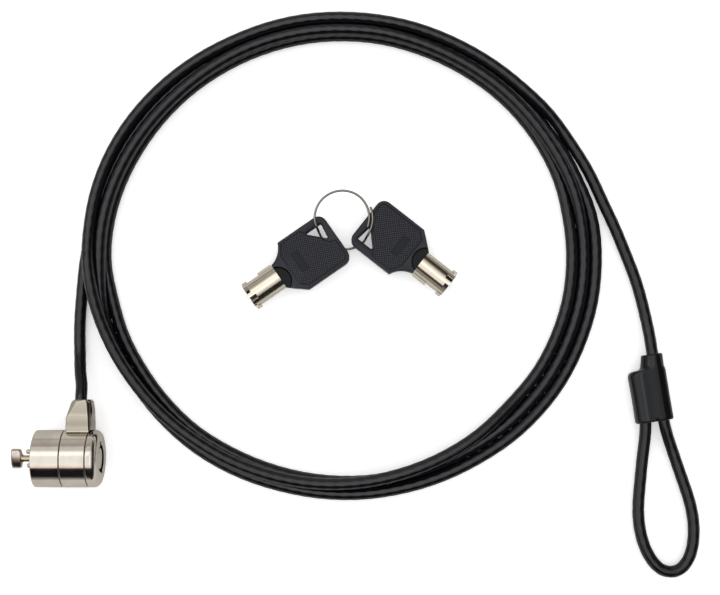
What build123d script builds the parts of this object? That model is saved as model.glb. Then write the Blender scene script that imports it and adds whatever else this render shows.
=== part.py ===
from build123d import *
import math
import os

# Laptop cable lock with a coiled cable and two tubular keys on a wire ring.
# Millimetres. Origin: centre of the lock's nose face on the turning axis of the T-bar.
# +X runs from the nose towards the keyway, +Y from the barrel towards the cable, +Z up.
# The object lies on a flat surface at z = -BARREL_R.

os.makedirs("parts", exist_ok=True)

# ---------------------------------------------------------------- driving dimensions
# "_X" values are stations along the barrel axis.
BARREL_R = 9.5
FRONT_LEN = 9.35          # nose face to the seam in front of the swivel collar
COLLAR_END = 17.8         # seam behind the swivel collar
BARREL_LEN = 21.6         # nose face to keyway face
REAR_ROUND = 1.1          # rounding of the keyway face's rim
NOSE_ROUND = 0.35         # rounding of the nose face's rim
ROLL = 18.0               # the barrel lies rolled by this much about X

SPIGOT_R = 7.6            # tube the collar turns on
SPIGOT_BORE_R = 6.5
SPIGOT_END_X = 19.4
COLLAR_BORE_R = 7.68      # running clearance on the spigot
NOSE_WALL = 2.5
WASHER_T = 0.3            # gap for each collar washer
WASHER_PLAY = 0.03
THRUST_T = 0.5

TBAR_LEN = 6.6            # long direction of the T-bar head
TBAR_WIDTH = 2.7
TBAR_THICK = 3.3
TBAR_REACH = 8.2          # nose face to the outer face of the T-bar head
SPINDLE_R = 1.1
SPINDLE_HOLE_R = 1.16
SPINDLE_END_X = 14.6
GUARD_PIN_R = 0.75
GUARD_PIN_OFFSET = 2.45   # from the axis, along the T-bar's length
GUARD_PIN_REACH = 3.2

PIN_R = 0.55              # key pins and driver pins
PIN_HOLE_R = 0.60
PIN_CIRCLE_R = 3.95
PIN_COUNT = 7
PIN_PITCH = 45            # degrees; the eighth place has no pin
KEY_PIN_LENGTHS = (5.5, 6.1, 5.7, 6.4, 5.9, 5.4, 6.2)  # from the shear plane
SHEAR_X = 11.2            # plane between the driver body and the plug
PLUG_X = SHEAR_X + 0.05   # inner face of the plug and the key pins
PIN_TRAVEL = 1.2
DRIVER_LEN = 2.8
PLUG_R = 5.88
SLEEVE_BORE_R = 5.95
SLEEVE_R = 6.48
PLUG_END_X = 16.0
POST_R = 3.4              # centre post of the keyway
POST_END_X = 21.2
KEYWAY_R = 4.5            # outer radius of the ring-shaped keyway
KEY_NOTCH_W = 1.6
KEY_NOTCHES = ((0, 5.2), (180, 5.9))       # degrees, reach from the axis

BODY_PIN_X = 10.3         # radial pin holding the driver body
BODY_PIN_R = 0.75
BODY_PIN_DEG = -90
CROSS_X = 13.4            # pin across the spindle and the plug
CROSS_R = 0.5
CROSS_DEG = PIN_PITCH / 2
STOP_X = 14.3             # pin that limits the plug's turn
STOP_R = 0.5
STOP_DEG = CROSS_DEG + 180

NECK_X = 14.5             # cable axis
NECK_BASE_Y = 7.9
NECK_TOP_Y = 19.65
NECK_HALF_Z = 4.4
FERRULE_R = 2.75
FERRULE_BORE_R = 2.83
FERRULE_END_Y = 10.1
CORE_END_Y = 10.3

CABLE_R = 2.0             # over its jacket
CORE_R = 1.2              # wire rope
JACKET_BORE_R = 1.25
CABLE_EXIT_R = 2.1

CRIMP_POS = (207.33, 12.22, -5.3)          # middle of the boot's end nearest the loop
CRIMP_DIR = (0.98937, 0.14544, 0.0)        # across the two strands
STRAND_OFFSET = 3.067
CRIMP_R = 2.75
CRIMP_START = 2.2         # distances along the strands from CRIMP_POS
CRIMP_END = 14.2
BOOT_LEN = 17.6
BOOT_TOP = 22.6
BOOT_HALF_W = 6.4
BOOT_HALF_Z = 4.2
BOOT_SLEEVE_R = 3.7

KEY_TUBE_R = 4.4
KEY_BORE_R = 3.5
KEY_TUBE_LEN = 12.3
KEY_WEB_T = 1.4           # closed end of the tube, next to the bow
KEY_CUT_R = 1.05
KEY_CUT_DEPTHS = (1.5, 2.6, 0.9, 2.0, 1.2, 2.7, 1.7)
KEY_CUT_START = 68        # degrees
BOW_T = 4.4
TANG_X = 4.5
KEY_AXIS_Z = KEY_TUBE_R - BARREL_R
# Each key: XY where the tube meets the bow, and the heading from tube to bow.
KEYS = {
    "a": ((80.095, 61.357), (0.8210, 0.5709)),
    "b": ((128.476, 66.062), (-0.7840, 0.6207)),
}
RING_HOLE = (19.95, 5.05)   # ring's place in the bow hole, in the key's own frame
RING_CENTRE = (101.76, 81.0)
RING_WIRE_R = 0.45

# Centre line (x, y, z) of the cable, from the loose end inside the crimp, round the loop,
# back through the crimp, round the coil and into the lock's neck.
CABLE_PATH = [
    (202.42, 24.54, -5.30), (203.00, 20.58, -5.30), (203.58, 16.62, -5.30), (204.16, 12.66, -5.30),
    (204.25, 8.71, -5.89), (203.99, 4.80, -6.68), (203.43, -0.12, -7.33), (202.86, -5.09, -7.49),
    (202.29, -10.05, -7.47), (201.81, -15.03, -7.47), (201.73, -20.02, -7.47), (202.31, -24.98, -7.47),
    (203.65, -29.79, -7.47), (205.96, -34.22, -7.47), (209.64, -37.53, -7.47), (214.50, -37.63, -7.47),
    (218.04, -34.18, -7.47), (219.73, -29.50, -7.47), (220.26, -24.53, -7.47), (219.99, -19.54, -7.47),
    (219.04, -14.64, -7.47), (217.62, -9.85, -7.47), (216.06, -5.10, -7.48), (214.51, -0.35, -7.42),
    (212.90, 4.36, -6.93), (211.62, 8.07, -6.20), (210.23, 13.56, -5.30), (209.65, 17.51, -5.30),
    (209.07, 21.47, -5.30), (208.49, 25.43, -5.30), (207.91, 29.39, -5.30), (207.32, 33.34, -5.30),
    (206.97, 35.55, -5.35), (206.61, 39.48, -6.04), (206.16, 43.37, -6.81), (205.32, 48.27, -7.38),
    (204.26, 53.15, -7.49), (203.01, 57.99, -7.47), (201.51, 62.75, -7.47), (199.79, 67.45, -7.47),
    (198.02, 72.12, -7.47), (196.21, 76.78, -7.47), (194.26, 81.38, -7.47), (192.21, 85.94, -7.47),
    (190.20, 90.52, -7.47), (188.17, 95.08, -7.47), (185.92, 99.55, -7.47), (183.40, 103.86, -7.48),
    (180.71, 108.08, -7.45), (177.89, 112.18, -7.06), (173.81, 117.21, -5.81), (169.23, 121.78, -4.56),
    (164.33, 126.15, -3.97), (159.30, 130.42, -3.79), (154.03, 134.39, -3.71), (148.50, 137.98, -3.66),
    (142.73, 141.19, -3.62), (136.78, 144.03, -3.60), (130.65, 146.46, -3.58), (124.35, 148.42, -3.55),
    (117.91, 149.86, -3.51), (111.39, 150.82, -3.47), (104.81, 151.31, -3.44), (98.21, 151.35, -3.42),
    (91.63, 150.93, -3.42), (85.10, 149.99, -3.43), (78.67, 148.52, -3.45), (72.38, 146.55, -3.48),
    (66.24, 144.12, -3.52), (60.26, 141.34, -3.58), (54.47, 138.18, -3.65), (48.93, 134.61, -3.73),
    (43.66, 130.63, -3.80), (38.73, 126.26, -3.86), (34.15, 121.51, -3.89), (29.98, 116.40, -3.91),
    (26.25, 110.95, -3.90), (23.02, 105.21, -3.85), (20.32, 99.19, -3.75), (18.19, 92.95, -3.60),
    (16.64, 86.54, -3.46), (15.69, 80.02, -3.36), (15.22, 73.46, -2.82), (15.41, 66.96, -1.75),
    (16.31, 60.47, -0.99), (17.67, 54.03, -1.27), (19.45, 47.77, -2.38), (21.80, 41.68, -3.26),
    (24.75, 35.78, -3.39), (28.20, 30.16, -3.37), (32.05, 24.80, -3.39), (36.26, 19.73, -3.44),
    (40.85, 14.99, -3.53), (45.81, 10.65, -3.66), (51.11, 6.72, -3.85), (56.64, 3.13, -4.00),
    (62.41, -0.07, -4.00), (68.44, -2.74, -3.90), (74.65, -4.94, -3.78), (81.02, -6.65, -3.66),
    (87.51, -7.85, -3.56), (94.07, -8.51, -3.47), (100.67, -8.62, -3.41), (107.25, -8.19, -3.37),
    (113.77, -7.22, -3.37), (120.19, -5.72, -3.41), (126.48, -3.72, -3.50), (132.59, -1.23, -3.64),
    (138.48, 1.73, -3.82), (144.12, 5.14, -4.09), (149.42, 9.02, -4.60), (154.32, 13.34, -5.53),
    (158.94, 17.90, -6.69), (163.41, 22.70, -7.40), (167.53, 27.84, -7.48), (171.08, 33.40, -7.47),
    (174.06, 39.29, -7.47), (176.53, 45.41, -7.47), (178.49, 51.70, -7.47), (179.81, 58.16, -7.47),
    (180.48, 64.72, -7.47), (180.60, 71.32, -7.47), (180.11, 77.90, -7.47), (179.15, 84.42, -7.47),
    (177.82, 90.88, -7.47), (175.82, 97.17, -7.47), (173.14, 103.20, -7.47), (169.91, 108.94, -7.47),
    (166.17, 114.38, -7.47), (162.00, 119.49, -7.47), (157.38, 124.20, -7.47), (152.35, 128.47, -7.47),
    (146.98, 132.29, -7.47), (141.33, 135.70, -7.47), (135.44, 138.67, -7.47), (129.34, 141.19, -7.47),
    (123.08, 143.26, -7.47), (116.68, 144.84, -7.47), (110.16, 145.83, -7.47), (103.58, 146.25, -7.47),
    (96.98, 146.19, -7.47), (90.41, 145.57, -7.47), (83.92, 144.39, -7.47), (77.55, 142.69, -7.47),
    (71.33, 140.50, -7.47), (65.29, 137.84, -7.47), (59.49, 134.70, -7.47), (53.95, 131.12, -7.47),
    (48.71, 127.11, -7.47), (43.83, 122.67, -7.47), (39.34, 117.84, -7.47), (35.25, 112.67, -7.47),
    (31.57, 107.19, -7.47), (28.31, 101.46, -7.47), (25.53, 95.48, -7.47), (23.28, 89.28, -7.47),
    (21.63, 82.89, -7.47), (20.60, 76.38, -7.47), (20.26, 69.79, -7.47), (20.82, 63.22, -7.47),
    (22.21, 56.78, -7.47), (23.90, 50.40, -7.47), (25.88, 44.11, -7.47), (28.48, 38.05, -7.47),
    (31.68, 32.28, -7.47), (35.24, 26.73, -7.47), (39.19, 21.44, -7.47), (43.54, 16.49, -7.47),
    (48.28, 11.90, -7.47), (53.45, 7.80, -7.47), (59.02, 4.26, -7.47), (64.83, 1.15, -7.47),
    (70.84, -1.57, -7.47), (77.03, -3.86, -7.47), (83.36, -5.70, -7.47), (89.82, -7.02, -7.47),
    (96.37, -7.83, -7.47), (102.96, -8.13, -7.47), (109.55, -7.88, -7.47), (116.10, -7.07, -7.47),
    (122.57, -5.80, -7.47), (128.93, -4.04, -7.47), (135.13, -1.79, -7.47), (141.13, 0.94, -7.47),
    (146.94, 4.07, -7.47), (152.53, 7.57, -7.47), (157.82, 11.51, -7.47), (162.70, 15.95, -7.47),
    (167.19, 20.78, -7.47), (171.24, 25.98, -7.47), (174.75, 31.57, -7.47), (177.73, 37.45, -7.47),
    (180.22, 43.56, -7.47), (182.24, 49.84, -7.47), (183.66, 56.28, -7.47), (184.46, 62.83, -7.47),
    (184.73, 69.42, -7.49), (184.42, 76.00, -7.24), (183.45, 82.45, -6.30), (181.82, 88.75, -5.21),
    (179.58, 94.91, -4.47), (176.70, 100.83, -4.02), (173.36, 106.50, -3.75), (169.63, 111.95, -3.62),
    (165.55, 117.12, -3.55), (161.09, 121.99, -3.50), (156.26, 126.48, -3.48), (151.07, 130.55, -3.47),
    (145.58, 134.20, -3.46), (139.83, 137.44, -3.46), (133.89, 140.30, -3.46), (127.76, 142.74, -3.48),
    (121.47, 144.72, -3.49), (115.03, 146.17, -3.49), (108.49, 146.99, -3.50), (101.90, 147.28, -3.50),
    (95.30, 147.12, -3.50), (88.74, 146.44, -3.52), (82.26, 145.20, -3.54), (75.91, 143.43, -3.55),
    (69.72, 141.14, -3.55), (63.77, 138.31, -3.52), (58.09, 134.95, -3.48), (52.69, 131.16, -3.44),
    (47.58, 127.00, -3.42), (42.76, 122.49, -3.42), (38.25, 117.67, -3.44), (34.11, 112.54, -3.46),
    (30.39, 107.09, -3.48), (27.13, 101.36, -3.49), (24.38, 95.36, -3.50), (22.15, 89.16, -3.51),
    (20.50, 82.77, -3.52), (19.49, 76.25, -3.52), (19.11, 69.67, -3.53), (19.11, 63.08, -3.74),
    (19.32, 56.53, -4.55), (20.02, 50.13, -5.96), (21.62, 43.85, -7.15), (24.08, 37.74, -7.49),
    (27.14, 31.90, -7.47), (30.60, 26.29, -7.47), (34.40, 20.90, -7.47), (38.59, 15.80, -7.47),
    (43.17, 11.05, -7.47), (48.09, 6.66, -7.47), (53.35, 2.69, -7.47), (58.96, -0.79, -7.47),
    (64.84, -3.79, -7.47), (70.93, -6.31, -7.47), (77.20, -8.35, -7.47), (83.60, -9.97, -7.47),
    (90.08, -11.21, -7.47), (96.63, -11.96, -7.47), (103.22, -12.23, -7.47), (109.81, -11.97, -7.47),
    (116.36, -11.18, -7.47), (122.84, -9.94, -7.47), (129.22, -8.25, -7.47), (135.44, -6.08, -7.47),
    (141.50, -3.45, -7.47), (147.35, -0.41, -7.47), (153.01, 2.97, -7.47), (158.42, 6.75, -7.47),
    (163.46, 11.00, -7.47), (168.12, 15.67, -7.47), (172.41, 20.68, -7.47), (176.23, 26.06, -7.47),
    (179.53, 31.77, -7.47), (182.33, 37.74, -7.47), (184.69, 43.91, -7.47), (186.58, 50.22, -7.47),
    (187.88, 56.69, -7.47), (188.60, 63.25, -7.47), (188.83, 69.84, -7.47), (188.50, 76.43, -7.47),
    (187.38, 82.92, -7.47), (185.33, 89.19, -7.47), (182.73, 95.25, -7.47), (179.91, 101.22, -7.47),
    (176.56, 106.90, -7.47), (172.77, 112.30, -7.47), (168.85, 117.60, -7.47), (164.64, 122.69, -7.47),
    (160.00, 127.37, -7.47), (154.96, 131.63, -7.47), (149.60, 135.47, -7.47), (143.97, 138.91, -7.47),
    (138.12, 141.94, -7.47), (132.05, 144.54, -7.47), (125.83, 146.72, -7.47), (119.46, 148.44, -7.47),
    (112.98, 149.68, -7.47), (106.43, 150.44, -7.47), (99.84, 150.71, -7.47), (93.25, 150.43, -7.47),
    (86.70, 149.59, -7.47), (80.27, 148.16, -7.47), (73.98, 146.17, -7.47), (67.87, 143.68, -7.47),
    (61.95, 140.77, -7.47), (56.22, 137.51, -7.47), (50.73, 133.85, -7.47), (45.52, 129.80, -7.47),
    (40.61, 125.39, -7.47), (36.04, 120.63, -7.47), (31.87, 115.53, -7.47), (28.11, 110.11, -7.47),
    (24.77, 104.42, -7.47), (21.88, 98.49, -7.47), (19.42, 92.37, -7.47), (17.41, 86.09, -7.47),
    (15.79, 79.69, -7.47), (14.45, 73.23, -7.47), (13.37, 66.72, -7.47), (12.75, 60.16, -7.47),
    (12.31, 53.57, -7.47), (11.98, 46.98, -7.48), (12.01, 40.39, -7.41), (12.52, 33.93, -6.23),
    (13.40, 27.93, -3.65), (14.20, 24.41, -1.84), (14.50, 20.70, -0.12), (14.50, 16.60, 0.00),
]


# ---------------------------------------------------------------- helpers
FROM_BASE = (Align.CENTER, Align.CENTER, Align.MIN)


def polar(radius, degrees):
    angle = math.radians(degrees)
    return radius * math.cos(angle), radius * math.sin(angle)


def xcyl(radius, x0, x1, y=0.0, z=0.0):
    """Cylinder along X."""
    base = Plane(origin=(x0, y, z), x_dir=(0, 1, 0), z_dir=(1, 0, 0))
    return base * Cylinder(radius, x1 - x0, align=FROM_BASE)


def ycyl(radius, y0, y1, x):
    """Cylinder along Y."""
    base = Plane(origin=(x, y0, 0), x_dir=(1, 0, 0), z_dir=(0, 1, 0))
    return base * Cylinder(radius, y1 - y0, align=FROM_BASE)


def xring(outer_r, inner_r, x0, x1):
    return xcyl(outer_r, x0, x1) - xcyl(inner_r, x0 - 1, x1 + 1)


def radial_rod(radius, x, degrees, start, end):
    """Cylinder square to the X axis, between two distances from it."""
    y, z = polar(start, degrees)
    base = Plane(origin=(x, y, z), z_dir=(0, *polar(1, degrees)))
    return base * Cylinder(radius, end - start, align=FROM_BASE)


def roll(shape):
    """Turn a shape about the barrel axis into the barrel's own roll."""
    return shape.rotate(Axis.X, ROLL)


def save(shape, name):
    solids = shape.solids()
    if len(solids) == 1:
        shape = solids[0]
    elif not isinstance(shape, Compound):
        shape = Compound(children=list(solids))
    shape.label = name
    export_step(shape, f"parts/{name}.step")


def save_rolled_group(shapes, name):
    solids = []
    for shape in shapes:
        solids += list(roll(shape).solids())
    save(Compound(children=solids), name)


def circles(shape, radius):
    return [
        e for e in shape.edges()
        if e.geom_type == GeomType.CIRCLE and abs(e.radius - radius) < 0.02
    ]


def xedges(shape, x, radius):
    """Circular edges of one radius lying in a plane of constant x."""
    return [e for e in circles(shape, radius) if abs(e.center(CenterOf.MASS).X - x) < 0.02]


# ---------------------------------------------------------------- nose and T-bar
# Front housing: nose wall, outer shell and the long spigot the collar turns on.
front_housing = xcyl(BARREL_R, 0, FRONT_LEN)
front_housing = fillet(xedges(front_housing, 0, BARREL_R), NOSE_ROUND)
front_housing = front_housing + xcyl(SPIGOT_R, FRONT_LEN - 1, SPIGOT_END_X)
front_housing = front_housing - xcyl(SPIGOT_BORE_R, NOSE_WALL, 30)
front_housing = front_housing - xcyl(SPINDLE_HOLE_R, -1, 5)
for side in (1, -1):
    front_housing = front_housing - xcyl(GUARD_PIN_R, -1, 5, side * GUARD_PIN_OFFSET)
front_housing = front_housing - radial_rod(BODY_PIN_R, BODY_PIN_X, BODY_PIN_DEG, 0, 20)
save(roll(front_housing), "front_housing")

# Two guard pins beside the T-bar keep the lock from turning in the slot.
guard_pins = []
for side in (1, -1):
    pin = xcyl(GUARD_PIN_R, -GUARD_PIN_REACH, NOSE_WALL, side * GUARD_PIN_OFFSET)
    guard_pins.append(fillet(xedges(pin, -GUARD_PIN_REACH, GUARD_PIN_R), 0.5))
save_rolled_group(guard_pins, "guard_pins")

# T-bar head and its spindle, one piece.
HEAD_BACK_X = -TBAR_REACH + TBAR_THICK
cross_hole = radial_rod(CROSS_R, CROSS_X, CROSS_DEG, -8, 8)
head = Pos(-TBAR_REACH + TBAR_THICK / 2, 0, 0) * Box(TBAR_THICK, TBAR_LEN, TBAR_WIDTH)
head = fillet(head.edges().filter_by(Axis.X), 1.15)
head = fillet(head.edges().filter_by(lambda e: e.center().X < -TBAR_REACH + 0.01), 0.7)
head = chamfer(head.edges().filter_by(lambda e: abs(e.center().X - HEAD_BACK_X) < 0.01), 0.35)
t_bar = head + xcyl(SPINDLE_R, HEAD_BACK_X - 0.5, SPINDLE_END_X)
t_bar = t_bar - cross_hole
save(roll(t_bar), "t_bar")

thrust_washer = xring(3.0, SPINDLE_HOLE_R, NOSE_WALL, NOSE_WALL + THRUST_T)
save(roll(thrust_washer), "thrust_washer")

# ---------------------------------------------------------------- pin-tumbler core
SPRING_X = 4.6            # blind ends of the spring holes
SPRING_LEN = SHEAR_X - DRIVER_LEN - SPRING_X - 0.1
SPRING_FILL = 0.93        # part of that length the helix takes up
SPRING_TURNS = 6.0
SPRING_R = 0.41
SPRING_WIRE = 0.18
pin_places = [polar(PIN_CIRCLE_R, PIN_PITCH * i) for i in range(PIN_COUNT)]

# Driver body: fixed core that holds the springs and driver pins.
driver_body = xcyl(SLEEVE_R, NOSE_WALL + THRUST_T, SHEAR_X) - xcyl(SPINDLE_HOLE_R, 0, 20)
for y, z in pin_places:
    driver_body = driver_body - xcyl(PIN_HOLE_R, SPRING_X, SHEAR_X + 1, y, z)
driver_body = driver_body - radial_rod(BODY_PIN_R, BODY_PIN_X, BODY_PIN_DEG, 5.2, 7.8)
save(roll(driver_body), "driver_body")

save_rolled_group(
    [xcyl(PIN_R, SHEAR_X - DRIVER_LEN, SHEAR_X - 0.02, y, z) for y, z in pin_places],
    "driver_pins",
)

# Coil springs of square wire behind the driver pins.
coil_len = SPRING_LEN * SPRING_FILL
helix = Wire([Edge.make_helix(pitch=coil_len / SPRING_TURNS, height=coil_len, radius=SPRING_R)])
spring_section = Plane(origin=helix @ 0, x_dir=(1, 0, 0), z_dir=helix % 0) * Rectangle(
    SPRING_WIRE, SPRING_WIRE
)
spring = Solid.sweep(spring_section.face(), helix, is_frenet=True)
spring = Pos(0, 0, SPRING_LEN * (1 - SPRING_FILL) / 2) * spring
save_rolled_group(
    [
        Plane(origin=(SPRING_X, y, z), x_dir=(0, 1, 0), z_dir=(1, 0, 0)) * spring
        for y, z in pin_places
    ],
    "pin_springs",
)

body_retaining_pin = radial_rod(BODY_PIN_R, BODY_PIN_X, BODY_PIN_DEG, 5.3, 7.5)
save(roll(body_retaining_pin), "body_retaining_pin")

# Plug: turns with the key and drives the T-bar. The centre post guides the key.
plug = xcyl(PLUG_R, PLUG_X, PLUG_END_X) + xcyl(POST_R, PLUG_END_X - 1, POST_END_X)
plug = plug - xcyl(SPINDLE_R, 0, SPINDLE_END_X) - cross_hole
for y, z in pin_places:
    plug = plug - xcyl(PIN_HOLE_R, SHEAR_X - 1, 30, y, z)
# blind hole at the place without a pin
y, z = polar(PIN_CIRCLE_R, PIN_PITCH * PIN_COUNT)
plug = plug - xcyl(PIN_HOLE_R, SHEAR_X - 1, SHEAR_X + PIN_TRAVEL + 0.2, y, z)
# slot in the side of the post's end, between two pins
plug = plug - (Pos(POST_END_X - 1.5, POST_R, 0) * Box(3.2, 1.5, 1.1)).rotate(Axis.X, 28.0)
# arc groove for the stop pin, cut out of a full ring by a wedge
groove = xring(PLUG_R + 0.5, 5.15, STOP_X - 0.6, STOP_X + 0.6)
wedge_outline = [(0, 0)] + [polar(12, a) for a in range(-112, 13, 8)]
wedge = Plane(origin=(STOP_X - 1, 0, 0), x_dir=(0, 1, 0), z_dir=(1, 0, 0)) * extrude(
    make_face(Polyline(*wedge_outline, close=True)), 2
)
plug = plug - (groove & wedge).rotate(Axis.X, STOP_DEG)
save(roll(plug), "plug")

spindle_cross_pin = radial_rod(CROSS_R, CROSS_X, CROSS_DEG, -5.1, 5.1)
save(roll(spindle_cross_pin), "spindle_cross_pin")

# Sleeve round the plug, with the stop pin's hole.
stop_hole = radial_rod(STOP_R, STOP_X, STOP_DEG, 5.25, 6.45)
cylinder_sleeve = xring(SLEEVE_R, SLEEVE_BORE_R, SHEAR_X, SPIGOT_END_X)
cylinder_sleeve = cylinder_sleeve - stop_hole
save(roll(cylinder_sleeve), "cylinder_sleeve")
save(roll(stop_hole & xcyl(SLEEVE_R, 10, 20)), "turn_stop_pin")

# Open ring that keeps the plug in the sleeve.
retaining_ring = xring(SLEEVE_BORE_R - 0.01, 4.95, PLUG_END_X + 0.06, PLUG_END_X + 0.66)
ring_gap = Pos(PLUG_END_X + 0.3, 5.4, 0) * Box(2, 2.4, 1.6)
retaining_ring = retaining_ring - ring_gap.rotate(Axis.X, 155)
save(roll(retaining_ring), "retaining_ring")

# Key pins of different lengths, one for each cut in the key.
key_pins = []
for (y, z), length in zip(pin_places, KEY_PIN_LENGTHS):
    pin = xcyl(PIN_R, PLUG_X, SHEAR_X + length, y, z)
    key_pins.append(chamfer(xedges(pin, SHEAR_X + length, PIN_R), 0.15))
save_rolled_group(key_pins, "key_pins")

# ---------------------------------------------------------------- rear cap and washers
# Rear cap: keyway face with a rounded rim, fixed on the spigot's end.
rear_cap = xcyl(BARREL_R, COLLAR_END + WASHER_T, BARREL_LEN)
rear_cap = fillet(xedges(rear_cap, BARREL_LEN, BARREL_R), REAR_ROUND)
rear_cap = rear_cap - xcyl(SPIGOT_R, 10, SPIGOT_END_X)
rear_cap = rear_cap - xcyl(KEYWAY_R, 10, 30)
for degrees, reach in KEY_NOTCHES:
    notch = Pos(20, reach / 2, 0) * Box(8, reach, KEY_NOTCH_W)
    rear_cap = rear_cap - notch.rotate(Axis.X, degrees)
rear_cap = chamfer(xedges(rear_cap, BARREL_LEN, KEYWAY_R), 0.2)
save(roll(rear_cap), "rear_cap")

# Washers either side of the collar.
COLLAR_START = FRONT_LEN + WASHER_T
for name, x0, x1 in (
    ("front_collar_washer", FRONT_LEN, COLLAR_START - WASHER_PLAY),
    ("rear_collar_washer", COLLAR_END + WASHER_PLAY, COLLAR_END + WASHER_T),
):
    save(xring(BARREL_R - 0.35, SPIGOT_R, x0, x1), name)

# ---------------------------------------------------------------- swivel collar with its neck
# Side outline (x, y) of the neck.
NECK_OUTLINE = [
    (10.4, NECK_BASE_Y), (10.45, 11.0), (10.75, 13.6), (11.15, 15.2), (12.2, 19.0),
    (12.7, NECK_TOP_Y), (17.4, NECK_TOP_Y), (18.05, 19.0), (18.45, 16.0), (18.6, 12.5),
    (18.6, NECK_BASE_Y),
]


def bevel_wedge(side):
    """Wedge that bevels the neck's nose-side corner on one Z side."""
    outer_z = side * (NECK_HALF_Z + 0.1)
    inner_z = side * (NECK_HALF_Z - 0.1)
    deep_z = side * 0.9
    outer = [(10.0, 13.8, outer_z), (14.2, 20.6, outer_z), (9.0, 20.6, outer_z)]
    inner = [(10.0, 13.8, inner_z), (11.6, 20.6, deep_z), (9.0, 20.6, deep_z)]
    wires = [Wire.make_polygon([Vector(*p) for p in pts], close=True) for pts in (outer, inner)]
    return Solid.make_loft(wires, ruled=True)


collar = xring(BARREL_R, COLLAR_BORE_R, COLLAR_START, COLLAR_END)
neck_side = make_face(Polyline(*[(x, y, 0) for x, y in NECK_OUTLINE], close=True))
neck = extrude(neck_side, NECK_HALF_Z, both=True)
neck_corners = neck.edges().filter_by(Axis.Z).filter_by(lambda e: e.center().Y > NECK_TOP_Y - 0.9)
neck = fillet(neck_corners, 0.5)
# sloping facets that narrow the neck in Z towards its cable end
for side in (1, -1):
    facet = Box(12, 7.4, 3.0).rotate(Axis.X, -side * 16)
    neck = neck - Pos(NECK_X, NECK_TOP_Y + 1.6, side * (NECK_HALF_Z + 1.7)) * facet
for side in (1, -1):
    neck = neck - bevel_wedge(side)
# clear the barrel before and behind the collar, and the spigot
neck = neck - xcyl(BARREL_R + 0.12, COLLAR_END, 30) - xcyl(BARREL_R + 0.12, -5, COLLAR_START)
neck = neck - xcyl(COLLAR_BORE_R, -5, 40)
collar = collar + neck
collar = collar - ycyl(FERRULE_BORE_R, 2.0, 15.5, NECK_X) - ycyl(CABLE_EXIT_R, 15.0, 25.0, NECK_X)
save(collar, "swivel_collar")

# ---------------------------------------------------------------- cable
SPLINE_SPAN = 6           # path steps in each spline piece


def swept_cable(radius):
    """Round rod along CABLE_PATH, over short splines that share tangents."""
    last = len(CABLE_PATH) - 1

    def tangent(i):
        before = Vector(*CABLE_PATH[max(i - 1, 0)])
        after = Vector(*CABLE_PATH[min(i + 1, last)])
        return (after - before).normalized()

    edges = []
    start = 0
    while start < last:
        end = min(start + SPLINE_SPAN, last)
        if last - end < 3:
            end = last
        points = [Vector(*p) for p in CABLE_PATH[start : end + 1]]
        edges.append(Edge.make_spline(points, tangents=[tangent(start), tangent(end)]))
        start = end
    path = Wire(edges)
    section = Plane(origin=path @ 0, z_dir=path % 0) * Circle(radius)
    return Solid.sweep(section.face(), path)


def caps_and_sides(rod):
    faces = rod.faces()
    caps = [f for f in faces if f.geom_type == GeomType.PLANE]
    return caps, [f for f in faces if f.geom_type != GeomType.PLANE]


# The jacket's shell is sewn from both skins and a ring-shaped face at each end.
outer_caps, outer_sides = caps_and_sides(swept_cable(CABLE_R))
bore_caps, bore_sides = caps_and_sides(swept_cable(JACKET_BORE_R))
skins = outer_sides + bore_sides
for cap in outer_caps:
    inner = min(bore_caps, key=lambda f: (f.center() - cap.center()).length)
    skins.append(Face(cap.outer_wire(), [inner.outer_wire()]))
save(Solid(Shell(skins)), "cable_jacket")

core = swept_cable(CORE_R)
core = core + ycyl(CORE_R, CORE_END_Y, CABLE_PATH[-1][1], NECK_X)
save(core, "cable_core")

neck_ferrule = ycyl(FERRULE_R, FERRULE_END_Y, 15.35, NECK_X)
neck_ferrule = neck_ferrule - ycyl(CORE_R + 0.01, CORE_END_Y, 20, NECK_X)
ferrule_rim = [e for e in circles(neck_ferrule, FERRULE_R) if e.center(CenterOf.MASS).Y < 11]
neck_ferrule = chamfer(ferrule_rim, 0.35)
save(neck_ferrule, "neck_ferrule")

# ---------------------------------------------------------------- loop end: crimp and boot
# Own frame: X across the two strands, Y along them away from the loop.
crimp_plane = Plane(origin=CRIMP_POS, x_dir=CRIMP_DIR, z_dir=(0, 0, 1))
STRANDS = (-STRAND_OFFSET, STRAND_OFFSET)
CRIMP_LEN = CRIMP_END - CRIMP_START
CRIMP_MID = (CRIMP_START + CRIMP_END) / 2

crimp = ycyl(CRIMP_R, CRIMP_START, CRIMP_END, STRANDS[0])
crimp = crimp + ycyl(CRIMP_R, CRIMP_START, CRIMP_END, STRANDS[1])
crimp = crimp + Pos(0, CRIMP_MID, 0) * Box(4.2, CRIMP_LEN, 3.2)
for x in STRANDS:
    crimp = crimp - ycyl(CABLE_R + 0.08, 0, 20, x)
save(crimp_plane * crimp, "crimp_sleeve")

boot = Pos(0, BOOT_LEN / 2, 0) * Box(2 * BOOT_HALF_W, BOOT_LEN, 2 * BOOT_HALF_Z)
boot = fillet(boot.edges().filter_by(Axis.Y), 3.6)
boot = fillet(boot.edges().filter_by(lambda e: e.center().Y > BOOT_LEN - 0.01), 1.6)
boot = fillet(boot.edges().filter_by(lambda e: e.center().Y < 0.01), 0.6)
boot = boot + ycyl(BOOT_SLEEVE_R, BOOT_LEN - 4, BOOT_TOP, BOOT_HALF_W - BOOT_SLEEVE_R)
sleeve_rim = [
    e for e in boot.edges()
    if e.geom_type == GeomType.CIRCLE and e.center(CenterOf.MASS).Y > BOOT_TOP - 0.01
]
boot = fillet(sleeve_rim, 0.8)
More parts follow.
